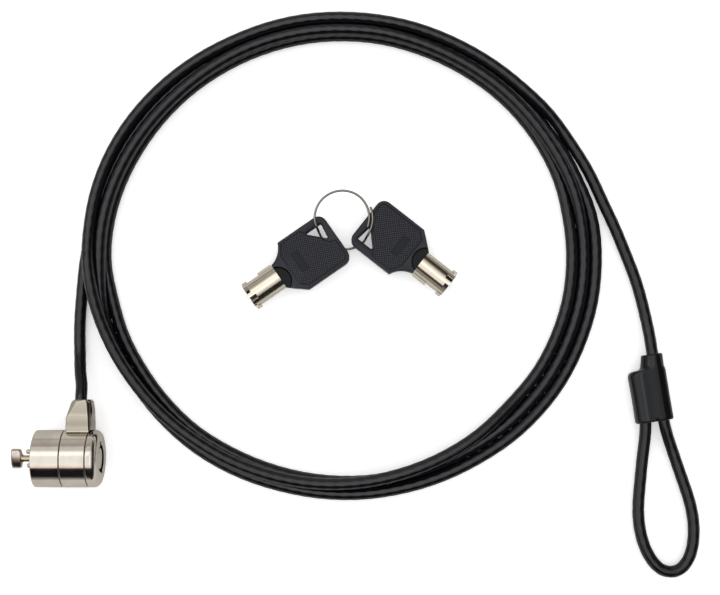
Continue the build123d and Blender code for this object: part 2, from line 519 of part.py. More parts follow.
# pocket for the crimp
for x in STRANDS:
    boot = boot - ycyl(CRIMP_R + 0.02, CRIMP_START - 0.02, CRIMP_END + 0.02, x)
boot = boot - Pos(0, CRIMP_MID, 0) * Box(4.22, CRIMP_LEN + 0.04, 3.24)
# strand holes; only the +X strand runs out through the sleeve
for x, hole_end in zip(STRANDS, (CRIMP_END, 40)):
    boot = boot - ycyl(CABLE_R + 0.1, -3, hole_end, x)
for x in STRANDS:
    mouth = Plane(origin=(x, -0.4, 0), x_dir=(1, 0, 0), z_dir=(0, 1, 0))
    boot = boot - mouth * Cone(3.0, CABLE_R, 2.0, align=FROM_BASE)
save(crimp_plane * boot, "loop_boot")


# ---------------------------------------------------------------- keys
# Own frame: X along the key, tube at x < 0 and bow at x > 0.
def key_tube():
    """Tube with half-round cuts in its end, lugs, a rib, an inner nib and a flat tang."""
    tube = xcyl(KEY_TUBE_R, -KEY_TUBE_LEN, 0.0)
    tube = tube - xcyl(KEY_BORE_R, -KEY_TUBE_LEN - 1, -KEY_WEB_T)
    for i, depth in enumerate(KEY_CUT_DEPTHS):
        y, z = polar(KEY_TUBE_R + 0.1, KEY_CUT_START + PIN_PITCH * i)
        tube = tube - xcyl(KEY_CUT_R, -KEY_TUBE_LEN - 1, -KEY_TUBE_LEN + depth, y, z)
    for side in (1, -1):
        lug = Box(1.9, 1.3, 1.4)
        tube = tube + Pos(-KEY_TUBE_LEN + 1.2, side * (KEY_TUBE_R + 0.05), 0) * lug
    rib = Pos(-2.9, KEY_TUBE_R, 0) * Box(5.4, 1.4, 1.6)
    nib = Pos(-KEY_TUBE_LEN + 3.2, -KEY_BORE_R + 0.1, 0) * Box(2.4, 1.0, 1.0)
    tang = Pos(TANG_X, 0, 0) * Box(9.6, 6.0, 2.0)
    return tube + rib + nib + tang


def key_bow():
    """Moulded bow with a triangular ring hole and recessed faces."""
    sides = Polyline(
        (0, 4.5, 0), (0, -4.5, 0), (6.0, -9.5, 0), (24.1, -9.5, 0), (24.1, 9.7, 0), (6.1, 9.7, 0)
    )
    arc = ThreePointArc((6.1, 9.7, 0), (3.75, 6.35, 0), (0, 4.5, 0))
    bow = extrude(make_face(Curve() + [sides, arc]), BOW_T / 2, both=True)
    bow = fillet(bow.edges().filter_by(Axis.Z).filter_by(lambda e: e.center().X > 20), 3.0)
    shoulder = bow.edges().filter_by(Axis.Z).filter_by(
        lambda e: 5 < e.center().X < 7 and e.center().Y < 0
    )
    bow = fillet(shoulder, 0.8)
    bow = fillet(bow.edges().filter_by(lambda e: abs(abs(e.center().Z) - BOW_T / 2) < 0.01), 0.4)

    hole_outline = Polyline((22.1, 6.9), (21.3, 0.9), (15.4, 6.9), close=True)
    hole = extrude(make_face(hole_outline), 6, both=True)
    bow = bow - fillet(hole.edges().filter_by(Axis.Z), 0.4)

    panel = Polyline(
        (7.1, -8.1), (22.7, -8.1), (22.7, -0.6), (15.0, 8.3), (6.9, 8.3), (4.7, 4.6), (4.7, -5.0),
        close=True,
    )
    for side in (1, -1):
        face_z = side * BOW_T / 2
        bow = bow - Pos(0, 0, face_z) * extrude(make_face(panel), 0.22, both=True)
        # deeper oblong recess in the panel, and a round scoop at the tube end
        bow = bow - Pos(8.8, 0, side * (BOW_T / 2 - 0.2)) * Box(2.4, 7.2, 0.5)
        bow = bow - Pos(-1.2, -1.2, face_z) * Cylinder(4.9, 2.2)
    return bow - Pos(TANG_X, 0, 0) * Box(9.64, 6.02, 2.02)


tube = key_tube()
bow = key_bow()
for name, ((x, y), heading) in KEYS.items():
    key_plane = Plane(origin=(x, y, KEY_AXIS_Z), x_dir=(*heading, 0), z_dir=(0, 0, 1))
    save(key_plane * tube, f"key_{name}_tube")
    save(key_plane * bow, f"key_{name}_bow")


# ---------------------------------------------------------------- key ring
def hole_about_ring(key):
    """Angle and distance of a key's ring hole from the ring's centre."""
    (x, y), (heading_x, heading_y) = key
    along, across = RING_HOLE
    dx = x + heading_x * along - heading_y * across - RING_CENTRE[0]
    dy = y + heading_y * along + heading_x * across - RING_CENTRE[1]
    return math.degrees(math.atan2(dy, dx)) % 360, math.hypot(dx, dy)


deg_a, dist_a = hole_about_ring(KEYS["a"])
deg_b, dist_b = hole_about_ring(KEYS["b"])
Z_TOP, Z_MID, Z_LOW = -2.25, KEY_AXIS_Z, -9.0

# Wire stations: degrees, radius, z. The wire dives through one bow, passes under
# both, comes up through the other and overlaps its own start.
RING_STATIONS = (
    (-20, 9.1, Z_TOP), (0, 9.15, Z_TOP), (20, 9.25, Z_TOP), (45, 9.45, -2.1),
    (70, 9.55, -2.0), (95, 9.55, -1.95), (120, 9.55, -2.0), (145, 9.55, -2.1),
    (170, 9.5, Z_TOP), (deg_a - 18, 9.35, Z_TOP), (deg_a - 8, dist_a + 0.05, -2.75),
    (deg_a, dist_a, Z_MID), (deg_a + 8, dist_a + 0.03, -7.9), (deg_a + 18, 9.3, Z_LOW),
    (245, 9.4, Z_LOW), (265, 9.6, Z_LOW), (285, 9.9, Z_LOW),
    (deg_b - 17, dist_b - 0.1, Z_LOW), (deg_b - 8, dist_b, -7.9), (deg_b, dist_b, Z_MID),
    (deg_b + 8, dist_b, -2.75), (deg_b + 17, dist_b, Z_TOP),
    (355, 10.3, Z_TOP), (370, 10.3, Z_TOP), (383, 10.35, Z_TOP),
)
ring_points = []
for degrees, radius, z in RING_STATIONS:
    dx, dy = polar(radius, degrees)
    ring_points.append(Vector(RING_CENTRE[0] + dx, RING_CENTRE[1] + dy, z))
ring_wire = Wire([Edge.make_spline(ring_points)])
ring_section = Plane(origin=ring_wire @ 0, z_dir=ring_wire % 0) * Circle(RING_WIRE_R)
save(Solid.sweep(ring_section.face(), ring_wire), "key_ring")
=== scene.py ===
"""Laptop cable lock with a coiled cable and two tubular keys on a ring, built round its CAD parts.

Z is up and everything lies on the floor. The barrel runs along +X from its nose at x = 0, the
collar's neck points along +Y, and the coil and keys lie beyond it. Tables and meshes are in
millimetres; piece() scales them to metres. Materials, lights and camera are in metres.
"""
import math

import bmesh
import bpy
import numpy as np
from mathutils import Matrix, Vector

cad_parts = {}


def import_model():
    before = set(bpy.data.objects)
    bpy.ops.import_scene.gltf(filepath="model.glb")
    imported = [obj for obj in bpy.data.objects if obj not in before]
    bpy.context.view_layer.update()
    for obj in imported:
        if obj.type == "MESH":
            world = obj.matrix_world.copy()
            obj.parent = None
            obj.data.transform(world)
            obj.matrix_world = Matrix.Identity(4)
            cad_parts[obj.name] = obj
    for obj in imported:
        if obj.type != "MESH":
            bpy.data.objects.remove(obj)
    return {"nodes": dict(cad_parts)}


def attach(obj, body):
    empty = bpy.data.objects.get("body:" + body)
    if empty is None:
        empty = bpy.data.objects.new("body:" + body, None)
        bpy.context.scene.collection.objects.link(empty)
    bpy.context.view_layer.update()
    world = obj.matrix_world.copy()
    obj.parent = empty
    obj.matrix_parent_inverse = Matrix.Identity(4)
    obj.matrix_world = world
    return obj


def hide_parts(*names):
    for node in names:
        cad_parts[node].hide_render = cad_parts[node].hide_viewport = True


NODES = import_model()["nodes"]
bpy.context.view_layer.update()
MM = 0.001
FLOOR_Z = -9.53

# Barrel, shared with the CAD
BARREL_R, BARREL_LEN = 9.5, 21.6
FRONT_LEN = 9.35
WASHER_T = 0.3
COLLAR_START, COLLAR_END = FRONT_LEN + WASHER_T, 17.8
CAP_START = COLLAR_END + WASHER_T
SPIGOT_R, SPIGOT_BORE_R, SPIGOT_END = 7.6, 6.5, 19.4
COLLAR_BORE_R = 7.68
SPINDLE_R, SPINDLE_HOLE_R = 1.1, 1.16
ROLL = math.radians(18.0)            # turn of the T-bar, pins and keyway about X
ROLLED = Matrix.Rotation(ROLL, 4, "X")
BARREL_SEGS = 224

# Neck on the swivel collar
NECK_X, NECK_BASE_Y, NECK_TOP_Y, NECK_HALF_Z = 14.5, 9.38, 19.65, 4.4

# Keys: position of the tube's axis and direction of the bow
KEY_AXIS_Z = -5.1
KEYS = {"a": ((80.095, 61.357), (0.8210, 0.5709)), "b": ((128.476, 66.062), (-0.7840, 0.6207))}
RING_HOLE = (19.95, 5.05)            # where the ring passes through a bow
RING_CENTRE = (101.76, 81.0)

# Crimp: position, direction, and offset of each strand from its middle
CRIMP_POS, CRIMP_DIR, STRAND = (207.33, 12.22, -5.3), (0.98937, 0.14544), 3.067

# Centre line of the cable (x, y, z): loose end in the crimp, round the loop, through the crimp,
# round the coil, into the neck.
CABLE_PATH = [
    (202.42, 24.54, -5.30), (203.00, 20.58, -5.30), (203.58, 16.62, -5.30), (204.16, 12.66, -5.30),
    (204.25, 8.71, -5.89), (203.99, 4.80, -6.68), (203.43, -0.12, -7.33), (202.86, -5.09, -7.49),
    (202.29, -10.05, -7.47), (201.81, -15.03, -7.47), (201.73, -20.02, -7.47), (202.31, -24.98, -7.47),
    (203.65, -29.79, -7.47), (205.96, -34.22, -7.47), (209.64, -37.53, -7.47), (214.50, -37.63, -7.47),
    (218.04, -34.18, -7.47), (219.73, -29.50, -7.47), (220.26, -24.53, -7.47), (219.99, -19.54, -7.47),
    (219.04, -14.64, -7.47), (217.62, -9.85, -7.47), (216.06, -5.10, -7.48), (214.51, -0.35, -7.42),
    (212.90, 4.36, -6.93), (211.62, 8.07, -6.20), (210.23, 13.56, -5.30), (209.65, 17.51, -5.30),
    (209.07, 21.47, -5.30), (208.49, 25.43, -5.30), (207.91, 29.39, -5.30), (207.32, 33.34, -5.30),
    (206.97, 35.55, -5.35), (206.61, 39.48, -6.04), (206.16, 43.37, -6.81), (205.32, 48.27, -7.38),
    (204.26, 53.15, -7.49), (203.01, 57.99, -7.47), (201.51, 62.75, -7.47), (199.79, 67.45, -7.47),
    (198.02, 72.12, -7.47), (196.21, 76.78, -7.47), (194.26, 81.38, -7.47), (192.21, 85.94, -7.47),
    (190.20, 90.52, -7.47), (188.17, 95.08, -7.47), (185.92, 99.55, -7.47), (183.40, 103.86, -7.48),
    (180.71, 108.08, -7.45), (177.89, 112.18, -7.06), (173.81, 117.21, -5.81), (169.23, 121.78, -4.56),
    (164.33, 126.15, -3.97), (159.30, 130.42, -3.79), (154.03, 134.39, -3.71), (148.50, 137.98, -3.66),
    (142.73, 141.19, -3.62), (136.78, 144.03, -3.60), (130.65, 146.46, -3.58), (124.35, 148.42, -3.55),
    (117.91, 149.86, -3.51), (111.39, 150.82, -3.47), (104.81, 151.31, -3.44), (98.21, 151.35, -3.42),
    (91.63, 150.93, -3.42), (85.10, 149.99, -3.43), (78.67, 148.52, -3.45), (72.38, 146.55, -3.48),
    (66.24, 144.12, -3.52), (60.26, 141.34, -3.58), (54.47, 138.18, -3.65), (48.93, 134.61, -3.73),
    (43.66, 130.63, -3.80), (38.73, 126.26, -3.86), (34.15, 121.51, -3.89), (29.98, 116.40, -3.91),
    (26.25, 110.95, -3.90), (23.02, 105.21, -3.85), (20.32, 99.19, -3.75), (18.19, 92.95, -3.60),
    (16.64, 86.54, -3.46), (15.69, 80.02, -3.36), (15.22, 73.46, -2.82), (15.41, 66.96, -1.75),
    (16.31, 60.47, -0.99), (17.67, 54.03, -1.27), (19.45, 47.77, -2.38), (21.80, 41.68, -3.26),
    (24.75, 35.78, -3.39), (28.20, 30.16, -3.37), (32.05, 24.80, -3.39), (36.26, 19.73, -3.44),
    (40.85, 14.99, -3.53), (45.81, 10.65, -3.66), (51.11, 6.72, -3.85), (56.64, 3.13, -4.00),
    (62.41, -0.07, -4.00), (68.44, -2.74, -3.90), (74.65, -4.94, -3.78), (81.02, -6.65, -3.66),
    (87.51, -7.85, -3.56), (94.07, -8.51, -3.47), (100.67, -8.62, -3.41), (107.25, -8.19, -3.37),
    (113.77, -7.22, -3.37), (120.19, -5.72, -3.41), (126.48, -3.72, -3.50), (132.59, -1.23, -3.64),
    (138.48, 1.73, -3.82), (144.12, 5.14, -4.09), (149.42, 9.02, -4.60), (154.32, 13.34, -5.53),
    (158.94, 17.90, -6.69), (163.41, 22.70, -7.40), (167.53, 27.84, -7.48), (171.08, 33.40, -7.47),
    (174.06, 39.29, -7.47), (176.53, 45.41, -7.47), (178.49, 51.70, -7.47), (179.81, 58.16, -7.47),
    (180.48, 64.72, -7.47), (180.60, 71.32, -7.47), (180.11, 77.90, -7.47), (179.15, 84.42, -7.47),
    (177.82, 90.88, -7.47), (175.82, 97.17, -7.47), (173.14, 103.20, -7.47), (169.91, 108.94, -7.47),
    (166.17, 114.38, -7.47), (162.00, 119.49, -7.47), (157.38, 124.20, -7.47), (152.35, 128.47, -7.47),
    (146.98, 132.29, -7.47), (141.33, 135.70, -7.47), (135.44, 138.67, -7.47), (129.34, 141.19, -7.47),
    (123.08, 143.26, -7.47), (116.68, 144.84, -7.47), (110.16, 145.83, -7.47), (103.58, 146.25, -7.47),
    (96.98, 146.19, -7.47), (90.41, 145.57, -7.47), (83.92, 144.39, -7.47), (77.55, 142.69, -7.47),
    (71.33, 140.50, -7.47), (65.29, 137.84, -7.47), (59.49, 134.70, -7.47), (53.95, 131.12, -7.47),
    (48.71, 127.11, -7.47), (43.83, 122.67, -7.47), (39.34, 117.84, -7.47), (35.25, 112.67, -7.47),
    (31.57, 107.19, -7.47), (28.31, 101.46, -7.47), (25.53, 95.48, -7.47), (23.28, 89.28, -7.47),
    (21.63, 82.89, -7.47), (20.60, 76.38, -7.47), (20.26, 69.79, -7.47), (20.82, 63.22, -7.47),
    (22.21, 56.78, -7.47), (23.90, 50.40, -7.47), (25.88, 44.11, -7.47), (28.48, 38.05, -7.47),
    (31.68, 32.28, -7.47), (35.24, 26.73, -7.47), (39.19, 21.44, -7.47), (43.54, 16.49, -7.47),
    (48.28, 11.90, -7.47), (53.45, 7.80, -7.47), (59.02, 4.26, -7.47), (64.83, 1.15, -7.47),
    (70.84, -1.57, -7.47), (77.03, -3.86, -7.47), (83.36, -5.70, -7.47), (89.82, -7.02, -7.47),
    (96.37, -7.83, -7.47), (102.96, -8.13, -7.47), (109.55, -7.88, -7.47), (116.10, -7.07, -7.47),
    (122.57, -5.80, -7.47), (128.93, -4.04, -7.47), (135.13, -1.79, -7.47), (141.13, 0.94, -7.47),
    (146.94, 4.07, -7.47), (152.53, 7.57, -7.47), (157.82, 11.51, -7.47), (162.70, 15.95, -7.47),
    (167.19, 20.78, -7.47), (171.24, 25.98, -7.47), (174.75, 31.57, -7.47), (177.73, 37.45, -7.47),
    (180.22, 43.56, -7.47), (182.24, 49.84, -7.47), (183.66, 56.28, -7.47), (184.46, 62.83, -7.47),
    (184.73, 69.42, -7.49), (184.42, 76.00, -7.24), (183.45, 82.45, -6.30), (181.82, 88.75, -5.21),
    (179.58, 94.91, -4.47), (176.70, 100.83, -4.02), (173.36, 106.50, -3.75), (169.63, 111.95, -3.62),
    (165.55, 117.12, -3.55), (161.09, 121.99, -3.50), (156.26, 126.48, -3.48), (151.07, 130.55, -3.47),
    (145.58, 134.20, -3.46), (139.83, 137.44, -3.46), (133.89, 140.30, -3.46), (127.76, 142.74, -3.48),
    (121.47, 144.72, -3.49), (115.03, 146.17, -3.49), (108.49, 146.99, -3.50), (101.90, 147.28, -3.50),
    (95.30, 147.12, -3.50), (88.74, 146.44, -3.52), (82.26, 145.20, -3.54), (75.91, 143.43, -3.55),
    (69.72, 141.14, -3.55), (63.77, 138.31, -3.52), (58.09, 134.95, -3.48), (52.69, 131.16, -3.44),
    (47.58, 127.00, -3.42), (42.76, 122.49, -3.42), (38.25, 117.67, -3.44), (34.11, 112.54, -3.46),
    (30.39, 107.09, -3.48), (27.13, 101.36, -3.49), (24.38, 95.36, -3.50), (22.15, 89.16, -3.51),
    (20.50, 82.77, -3.52), (19.49, 76.25, -3.52), (19.11, 69.67, -3.53), (19.11, 63.08, -3.74),
    (19.32, 56.53, -4.55), (20.02, 50.13, -5.96), (21.62, 43.85, -7.15), (24.08, 37.74, -7.49),
    (27.14, 31.90, -7.47), (30.60, 26.29, -7.47), (34.40, 20.90, -7.47), (38.59, 15.80, -7.47),
    (43.17, 11.05, -7.47), (48.09, 6.66, -7.47), (53.35, 2.69, -7.47), (58.96, -0.79, -7.47),
    (64.84, -3.79, -7.47), (70.93, -6.31, -7.47), (77.20, -8.35, -7.47), (83.60, -9.97, -7.47),
    (90.08, -11.21, -7.47), (96.63, -11.96, -7.47), (103.22, -12.23, -7.47), (109.81, -11.97, -7.47),
    (116.36, -11.18, -7.47), (122.84, -9.94, -7.47), (129.22, -8.25, -7.47), (135.44, -6.08, -7.47),
    (141.50, -3.45, -7.47), (147.35, -0.41, -7.47), (153.01, 2.97, -7.47), (158.42, 6.75, -7.47),
    (163.46, 11.00, -7.47), (168.12, 15.67, -7.47), (172.41, 20.68, -7.47), (176.23, 26.06, -7.47),
    (179.53, 31.77, -7.47), (182.33, 37.74, -7.47), (184.69, 43.91, -7.47), (186.58, 50.22, -7.47),
    (187.88, 56.69, -7.47), (188.60, 63.25, -7.47), (188.83, 69.84, -7.47), (188.50, 76.43, -7.47),
    (187.38, 82.92, -7.47), (185.33, 89.19, -7.47), (182.73, 95.25, -7.47), (179.91, 101.22, -7.47),
    (176.56, 106.90, -7.47), (172.77, 112.30, -7.47), (168.85, 117.60, -7.47), (164.64, 122.69, -7.47),
    (160.00, 127.37, -7.47), (154.96, 131.63, -7.47), (149.60, 135.47, -7.47), (143.97, 138.91, -7.47),
    (138.12, 141.94, -7.47), (132.05, 144.54, -7.47), (125.83, 146.72, -7.47), (119.46, 148.44, -7.47),
    (112.98, 149.68, -7.47), (106.43, 150.44, -7.47), (99.84, 150.71, -7.47), (93.25, 150.43, -7.47),
    (86.70, 149.59, -7.47), (80.27, 148.16, -7.47), (73.98, 146.17, -7.47), (67.87, 143.68, -7.47),
    (61.95, 140.77, -7.47), (56.22, 137.51, -7.47), (50.73, 133.85, -7.47), (45.52, 129.80, -7.47),
    (40.61, 125.39, -7.47), (36.04, 120.63, -7.47), (31.87, 115.53, -7.47), (28.11, 110.11, -7.47),
    (24.77, 104.42, -7.47), (21.88, 98.49, -7.47), (19.42, 92.37, -7.47), (17.41, 86.09, -7.47),
    (15.79, 79.69, -7.47), (14.45, 73.23, -7.47), (13.37, 66.72, -7.47), (12.75, 60.16, -7.47),
    (12.31, 53.57, -7.47), (11.98, 46.98, -7.48), (12.01, 40.39, -7.41), (12.52, 33.93, -6.23),
    (13.40, 27.93, -3.65), (14.20, 24.41, -1.84), (14.50, 20.70, -0.12), (14.50, 16.60, 0.00),
]


# ------------------------------------------------------------------ mesh helpers
def mesh_from(name, verts, faces, smooth=True):
    mesh = bpy.data.meshes.new(name)
    verts = [tuple(map(float, v)) for v in verts]
    mesh.from_pydata(verts, [], [tuple(map(int, f)) for f in faces])
    mesh.update()
    if smooth:
        mesh.polygons.foreach_set("use_smooth", [True] * len(mesh.polygons))
    return mesh


def outward(mesh, merge=None):
    """Turn the normals outwards, first merging vertices closer than merge if it is given."""
    bm = bmesh.new()
    bm.from_mesh(mesh)
    if merge:
        bmesh.ops.remove_doubles(bm, verts=bm.verts, dist=merge)
        bmesh.ops.dissolve_degenerate(bm, edges=bm.edges, dist=merge)
    bmesh.ops.recalc_face_normals(bm, faces=bm.faces)
    bm.to_mesh(mesh)
    bm.free()
    mesh.update()
    return mesh


def clean(mesh):
    return outward(mesh, merge=1e-4)


def linked_object(name, data):
    obj = bpy.data.objects.new(name, data)
    bpy.context.scene.collection.objects.link(obj)
    return obj


def modified(mesh, kind, **settings):
    """The mesh with one modifier applied."""
    obj = linked_object("work", mesh)
    modifier = obj.modifiers.new("m", kind)
    for key, value in settings.items():
        setattr(modifier, key, value)
    bpy.context.view_layer.update()
    evaluated = obj.evaluated_get(bpy.context.evaluated_depsgraph_get())
    result = bpy.data.meshes.new_from_object(evaluated)
    bpy.data.objects.remove(obj)
    return result


def boolean(mesh, tool, operation="DIFFERENCE"):
    tool_object = linked_object("tool", tool)
    result = modified(mesh, "BOOLEAN", operation=operation, solver="EXACT", object=tool_object)
    bpy.data.objects.remove(tool_object)
    return outward(result, merge=2e-4)


def joined(*meshes):
    bm = bmesh.new()
    for mesh in meshes:
        bm.from_mesh(mesh)
    result = bpy.data.meshes.new("joined")
    bm.to_mesh(result)
    bm.free()
    return result


def moved(mesh, matrix):
    mesh.transform(matrix)
    if matrix.determinant() < 0:
        mesh.flip_normals()
    mesh.update()
    return mesh


def placement(origin, direction):
    """Matrix that puts the local X axis along a level direction from the origin."""
    (x, y, z), (dx, dy) = origin, direction
    return Matrix(((dx, -dy, 0, x), (dy, dx, 0, y), (0, 0, 1, z), (0, 0, 0, 1)))


def piece(name, mesh, body, stands_for, material, sharp, weighted=False):
    """Scale a millimetre mesh to metres and hang it on its body; sharp is an angle in degrees."""
    mesh.transform(Matrix.Scale(MM, 4))
    mesh.name = name
    mesh.polygons.foreach_set("use_smooth", [True] * len(mesh.polygons))
    mesh.set_sharp_from_angle(angle=math.radians(sharp))
    mesh.update()
    obj = linked_object(name, mesh)
    mesh.materials.clear()
    mesh.materials.append(material)
    if weighted:
        obj.modifiers.new("normals", "WEIGHTED_NORMAL").keep_sharp = True
    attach(obj, body)
    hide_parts(stands_for)
    return obj


def lathe(profile, segs, axis="X", centre=(0.0, 0.0)):
    """Turned solid from a closed profile of (along, radius) points; radius 0 makes a pole.

    centre is the axis's place in the other two coordinates, in x, y, z order.
    """
    verts, rings = [], []
    for along, radius in profile:
        first = len(verts)
        if radius < 1e-6:
            verts.append((along, 0.0, 0.0))
        else:
            for k in range(segs):
                turn = 2 * math.pi * k / segs
                verts.append((along, radius * math.cos(turn), radius * math.sin(turn)))
        rings.append(list(range(first, len(verts))))
    faces = []
    for i, ring in enumerate(rings):
        after = rings[(i + 1) % len(rings)]
        if len(ring) == 1 and len(after) == 1:
            continue
        for k in range(segs):
            k2 = (k + 1) % segs
            if len(ring) == 1:
                faces.append((ring[0], after[k2], after[k]))
            elif len(after) == 1:
                faces.append((ring[k], ring[k2], after[0]))
            else:
                faces.append((ring[k], ring[k2], after[k2], after[k]))
    c1, c2 = centre
    if axis == "X":
        verts = [(x, y + c1, z + c2) for x, y, z in verts]
    elif axis == "Y":
        verts = [(y + c1, x, -z + c2) for x, y, z in verts]
    else:
        verts = [(y + c1, z + c2, x) for x, y, z in verts]
    return clean(mesh_from("lathe", verts, faces))


def cylinder(radius, start, end, segs, axis="X", centre=(0.0, 0.0)):
    return lathe([(start, 0), (start, radius), (end, radius), (end, 0)], segs, axis, centre)


def arc(along, radius, bend, start, end, steps):
    """Arc of bend radius about (along, radius) in a lathe profile, between angles in degrees."""
    turns = [math.radians(start + (end - start) * k / steps) for k in range(steps + 1)]
    return [(along + bend * math.cos(t), radius + bend * math.sin(t)) for t in turns]


def round_corner(before, corner, after, radius, steps):
    """Points of a rounded 2-D corner."""
    before, corner, after = (np.array(p, float) for p in (before, corner, after))
    u, v = before - corner, after - corner
    len_u, len_v = np.linalg.norm(u), np.linalg.norm(v)
    u, v = u / len_u, v / len_v
    half = math.acos(float(np.clip(u @ v, -1, 1))) / 2
    if half > math.pi / 2 - 0.01 or radius <= 0:
        return [tuple(corner)]
    cut = min(radius / math.tan(half), 0.49 * len_u, 0.49 * len_v)
    fitted = cut * math.tan(half)
    centre = corner + (u + v) / np.linalg.norm(u + v) * (fitted / math.sin(half))
    p, q = corner + u * cut, corner + v * cut
    start = math.atan2(p[1] - centre[1], p[0] - centre[0])
    end = math.atan2(q[1] - centre[1], q[0] - centre[0])
    sweep = (end - start + math.pi) % (2 * math.pi) - math.pi
    turns = [start + sweep * k / steps for k in range(steps + 1)]
    return [(centre[0] + fitted * math.cos(t), centre[1] + fitted * math.sin(t)) for t in turns]


def rounded(points, radii, steps):
    """Closed polygon with its corners rounded, by one radius or a list of them."""
    if not isinstance(radii, list):
        radii = [radii] * len(points)
    result = []
    for i, corner in enumerate(points):
        after = points[(i + 1) % len(points)]
        result += round_corner(points[i - 1], corner, after, radii[i], steps)
    return result


def inset(poly, depth):
    """Offset a closed polygon inwards."""
    if sum(poly[i - 1][0] * p[1] - p[0] * poly[i - 1][1] for i, p in enumerate(poly)) < 0:
        depth = -depth
    p = np.array(poly, float)

    def normals(edge):
        length = np.maximum(np.linalg.norm(edge, axis=1), 1e-9)
        return np.stack([-edge[:, 1], edge[:, 0]], 1) / length[:, None]

    mitre = normals(p - np.roll(p, 1, 0)) + normals(np.roll(p, -1, 0) - p)
    reach = 2.0 / np.maximum((mitre * mitre).sum(1), 0.35)
    return p + mitre * (reach * depth)[:, None]


def inside(poly, x, y):
    result = False
    for i, (x1, y1) in enumerate(poly):
        x2, y2 = poly[(i + 1) % len(poly)]
        if (y1 > y) != (y2 > y) and x < (x2 - x1) * (y - y1) / (y2 - y1) + x1:
            result = not result
    return result


def loft(rows, flip=False):
    """Skin over equal-length rows of 3-D points with flat caps; flip winds the faces backwards."""
    n = len(rows[0])
    faces = []
    for low in range(0, (len(rows) - 1) * n, n):
        high = low + n
        for k in range(n):
            k2 = (k + 1) % n
            if flip:
                faces.append((low + k, high + k, high + k2, low + k2))
            else:
                faces.append((low + k, low + k2, high + k2, high + k))
    first = tuple(range(n))
    last = tuple((len(rows) - 1) * n + k for k in range(n))
    faces += [first, last[::-1]] if flip else [first[::-1], last]
    return mesh_from("loft", [v for row in rows for v in row], faces)


def stack(layers):
    """Loft through level loops [(outline, z), ...]."""
    return outward(loft([[(x, y, z) for x, y in outline] for outline, z in layers]))


def slab(outline, bottom, top, edge, steps):
    """Plate with a rounded rim on both faces."""
    rim = []
    for k in range(steps + 1):
        turn = math.pi / 2 * k / steps
        rim.append((edge * (1 - math.sin(turn)), edge * (1 - math.cos(turn))))
    layers = [(inset(outline, depth), bottom + rise) for depth, rise in rim]
    layers += [(inset(outline, depth), top - rise) for depth, rise in reversed(rim)]
    return stack(layers)


def box_mesh(x0, x1, y0, y1, z0, z1):
    outline = [(x0, y0), (x1, y0), (x1, y1), (x0, y1)]
    return stack([(outline, z0), (outline, z1)])


def hull(points):
    bm = bmesh.new()
    for p in points:
        bm.verts.new(p)
    result = bmesh.ops.convex_hull(bm, input=bm.verts)
    inner = [g for g in result["geom_interior"] if isinstance(g, bmesh.types.BMVert)]
    if inner:
        bmesh.ops.delete(bm, geom=inner, context="VERTS")
    bmesh.ops.dissolve_limit(bm, angle_limit=math.radians(1.5), verts=bm.verts, edges=bm.edges)
    bmesh.ops.recalc_face_normals(bm, faces=bm.faces)
    mesh = bpy.data.meshes.new("hull")
    bm.to_mesh(mesh)
    bm.free()
    return mesh


def spline(points, step):
    """Natural cubic spline at an even step: its points, arc lengths and tangents."""
    p = np.array(points, float)
    knots = np.r_[0, np.cumsum(np.linalg.norm(np.diff(p, axis=0), axis=1))]
    n = len(p)
    h = np.diff(knots)
    system = np.zeros((n, n))
    right_side = np.zeros((n, 3))
    system[0, 0] = system[-1, -1] = 1
    for i in range(1, n - 1):
        system[i, i - 1:i + 2] = h[i - 1], 2 * (h[i - 1] + h[i]), h[i]
        right_side[i] = 6 * ((p[i + 1] - p[i]) / h[i] - (p[i] - p[i - 1]) / h[i - 1])
    bend = np.linalg.solve(system, right_side)

    t = np.linspace(0, knots[-1], n * 60)
    i = np.clip(np.searchsorted(knots, t, side="right") - 1, 0, n - 2)
    span, u = h[i][:, None], (t - knots[i])[:, None]
    w = span - u
    fine = ((bend[i] * w**3 + bend[i + 1] * u**3) / (6 * span)
            + (p[i] / span - bend[i] * span / 6) * w
            + (p[i + 1] / span - bend[i + 1] * span / 6) * u)
    lengths = np.r_[0, np.cumsum(np.linalg.norm(np.diff(fine, axis=0), axis=1))]
    even = np.linspace(0, lengths[-1], int(round(lengths[-1] / step)) + 1)
    path = np.stack([np.interp(even, lengths, fine[:, k]) for k in range(3)], 1)
    tangents = np.gradient(path, axis=0)
    tangents /= np.linalg.norm(tangents, axis=1)[:, None]
    return path, even, tangents


def tube_mesh(points, step, radius_of, segs):
    """Tube along a spline, its sections carried along without twist.

    radius_of(distance, total length, angles) gives the radius at each angle of a section.
    """
    path, distances, tangents = spline(points, step)
    u = np.cross(tangents[0], np.array([0, 0, 1.0]))
    u /= np.linalg.norm(u)
    angles = 2 * np.pi * np.arange(segs) / segs
    rows = []
    for i, (point, tangent) in enumerate(zip(path, tangents)):
        if i:
            u = u - tangent * (u @ tangent)
            u /= np.linalg.norm(u)
        v = np.cross(tangent, u)
        r = radius_of(distances[i], distances[-1], angles)
        rows.append(point + (np.cos(angles) * r)[:, None] * u + (np.sin(angles) * r)[:, None] * v)
    return loft(rows)


def bulge(value, power):
    """One coordinate of a superellipse from a cosine or sine."""
    return math.copysign(abs(value) ** (2 / power), value)


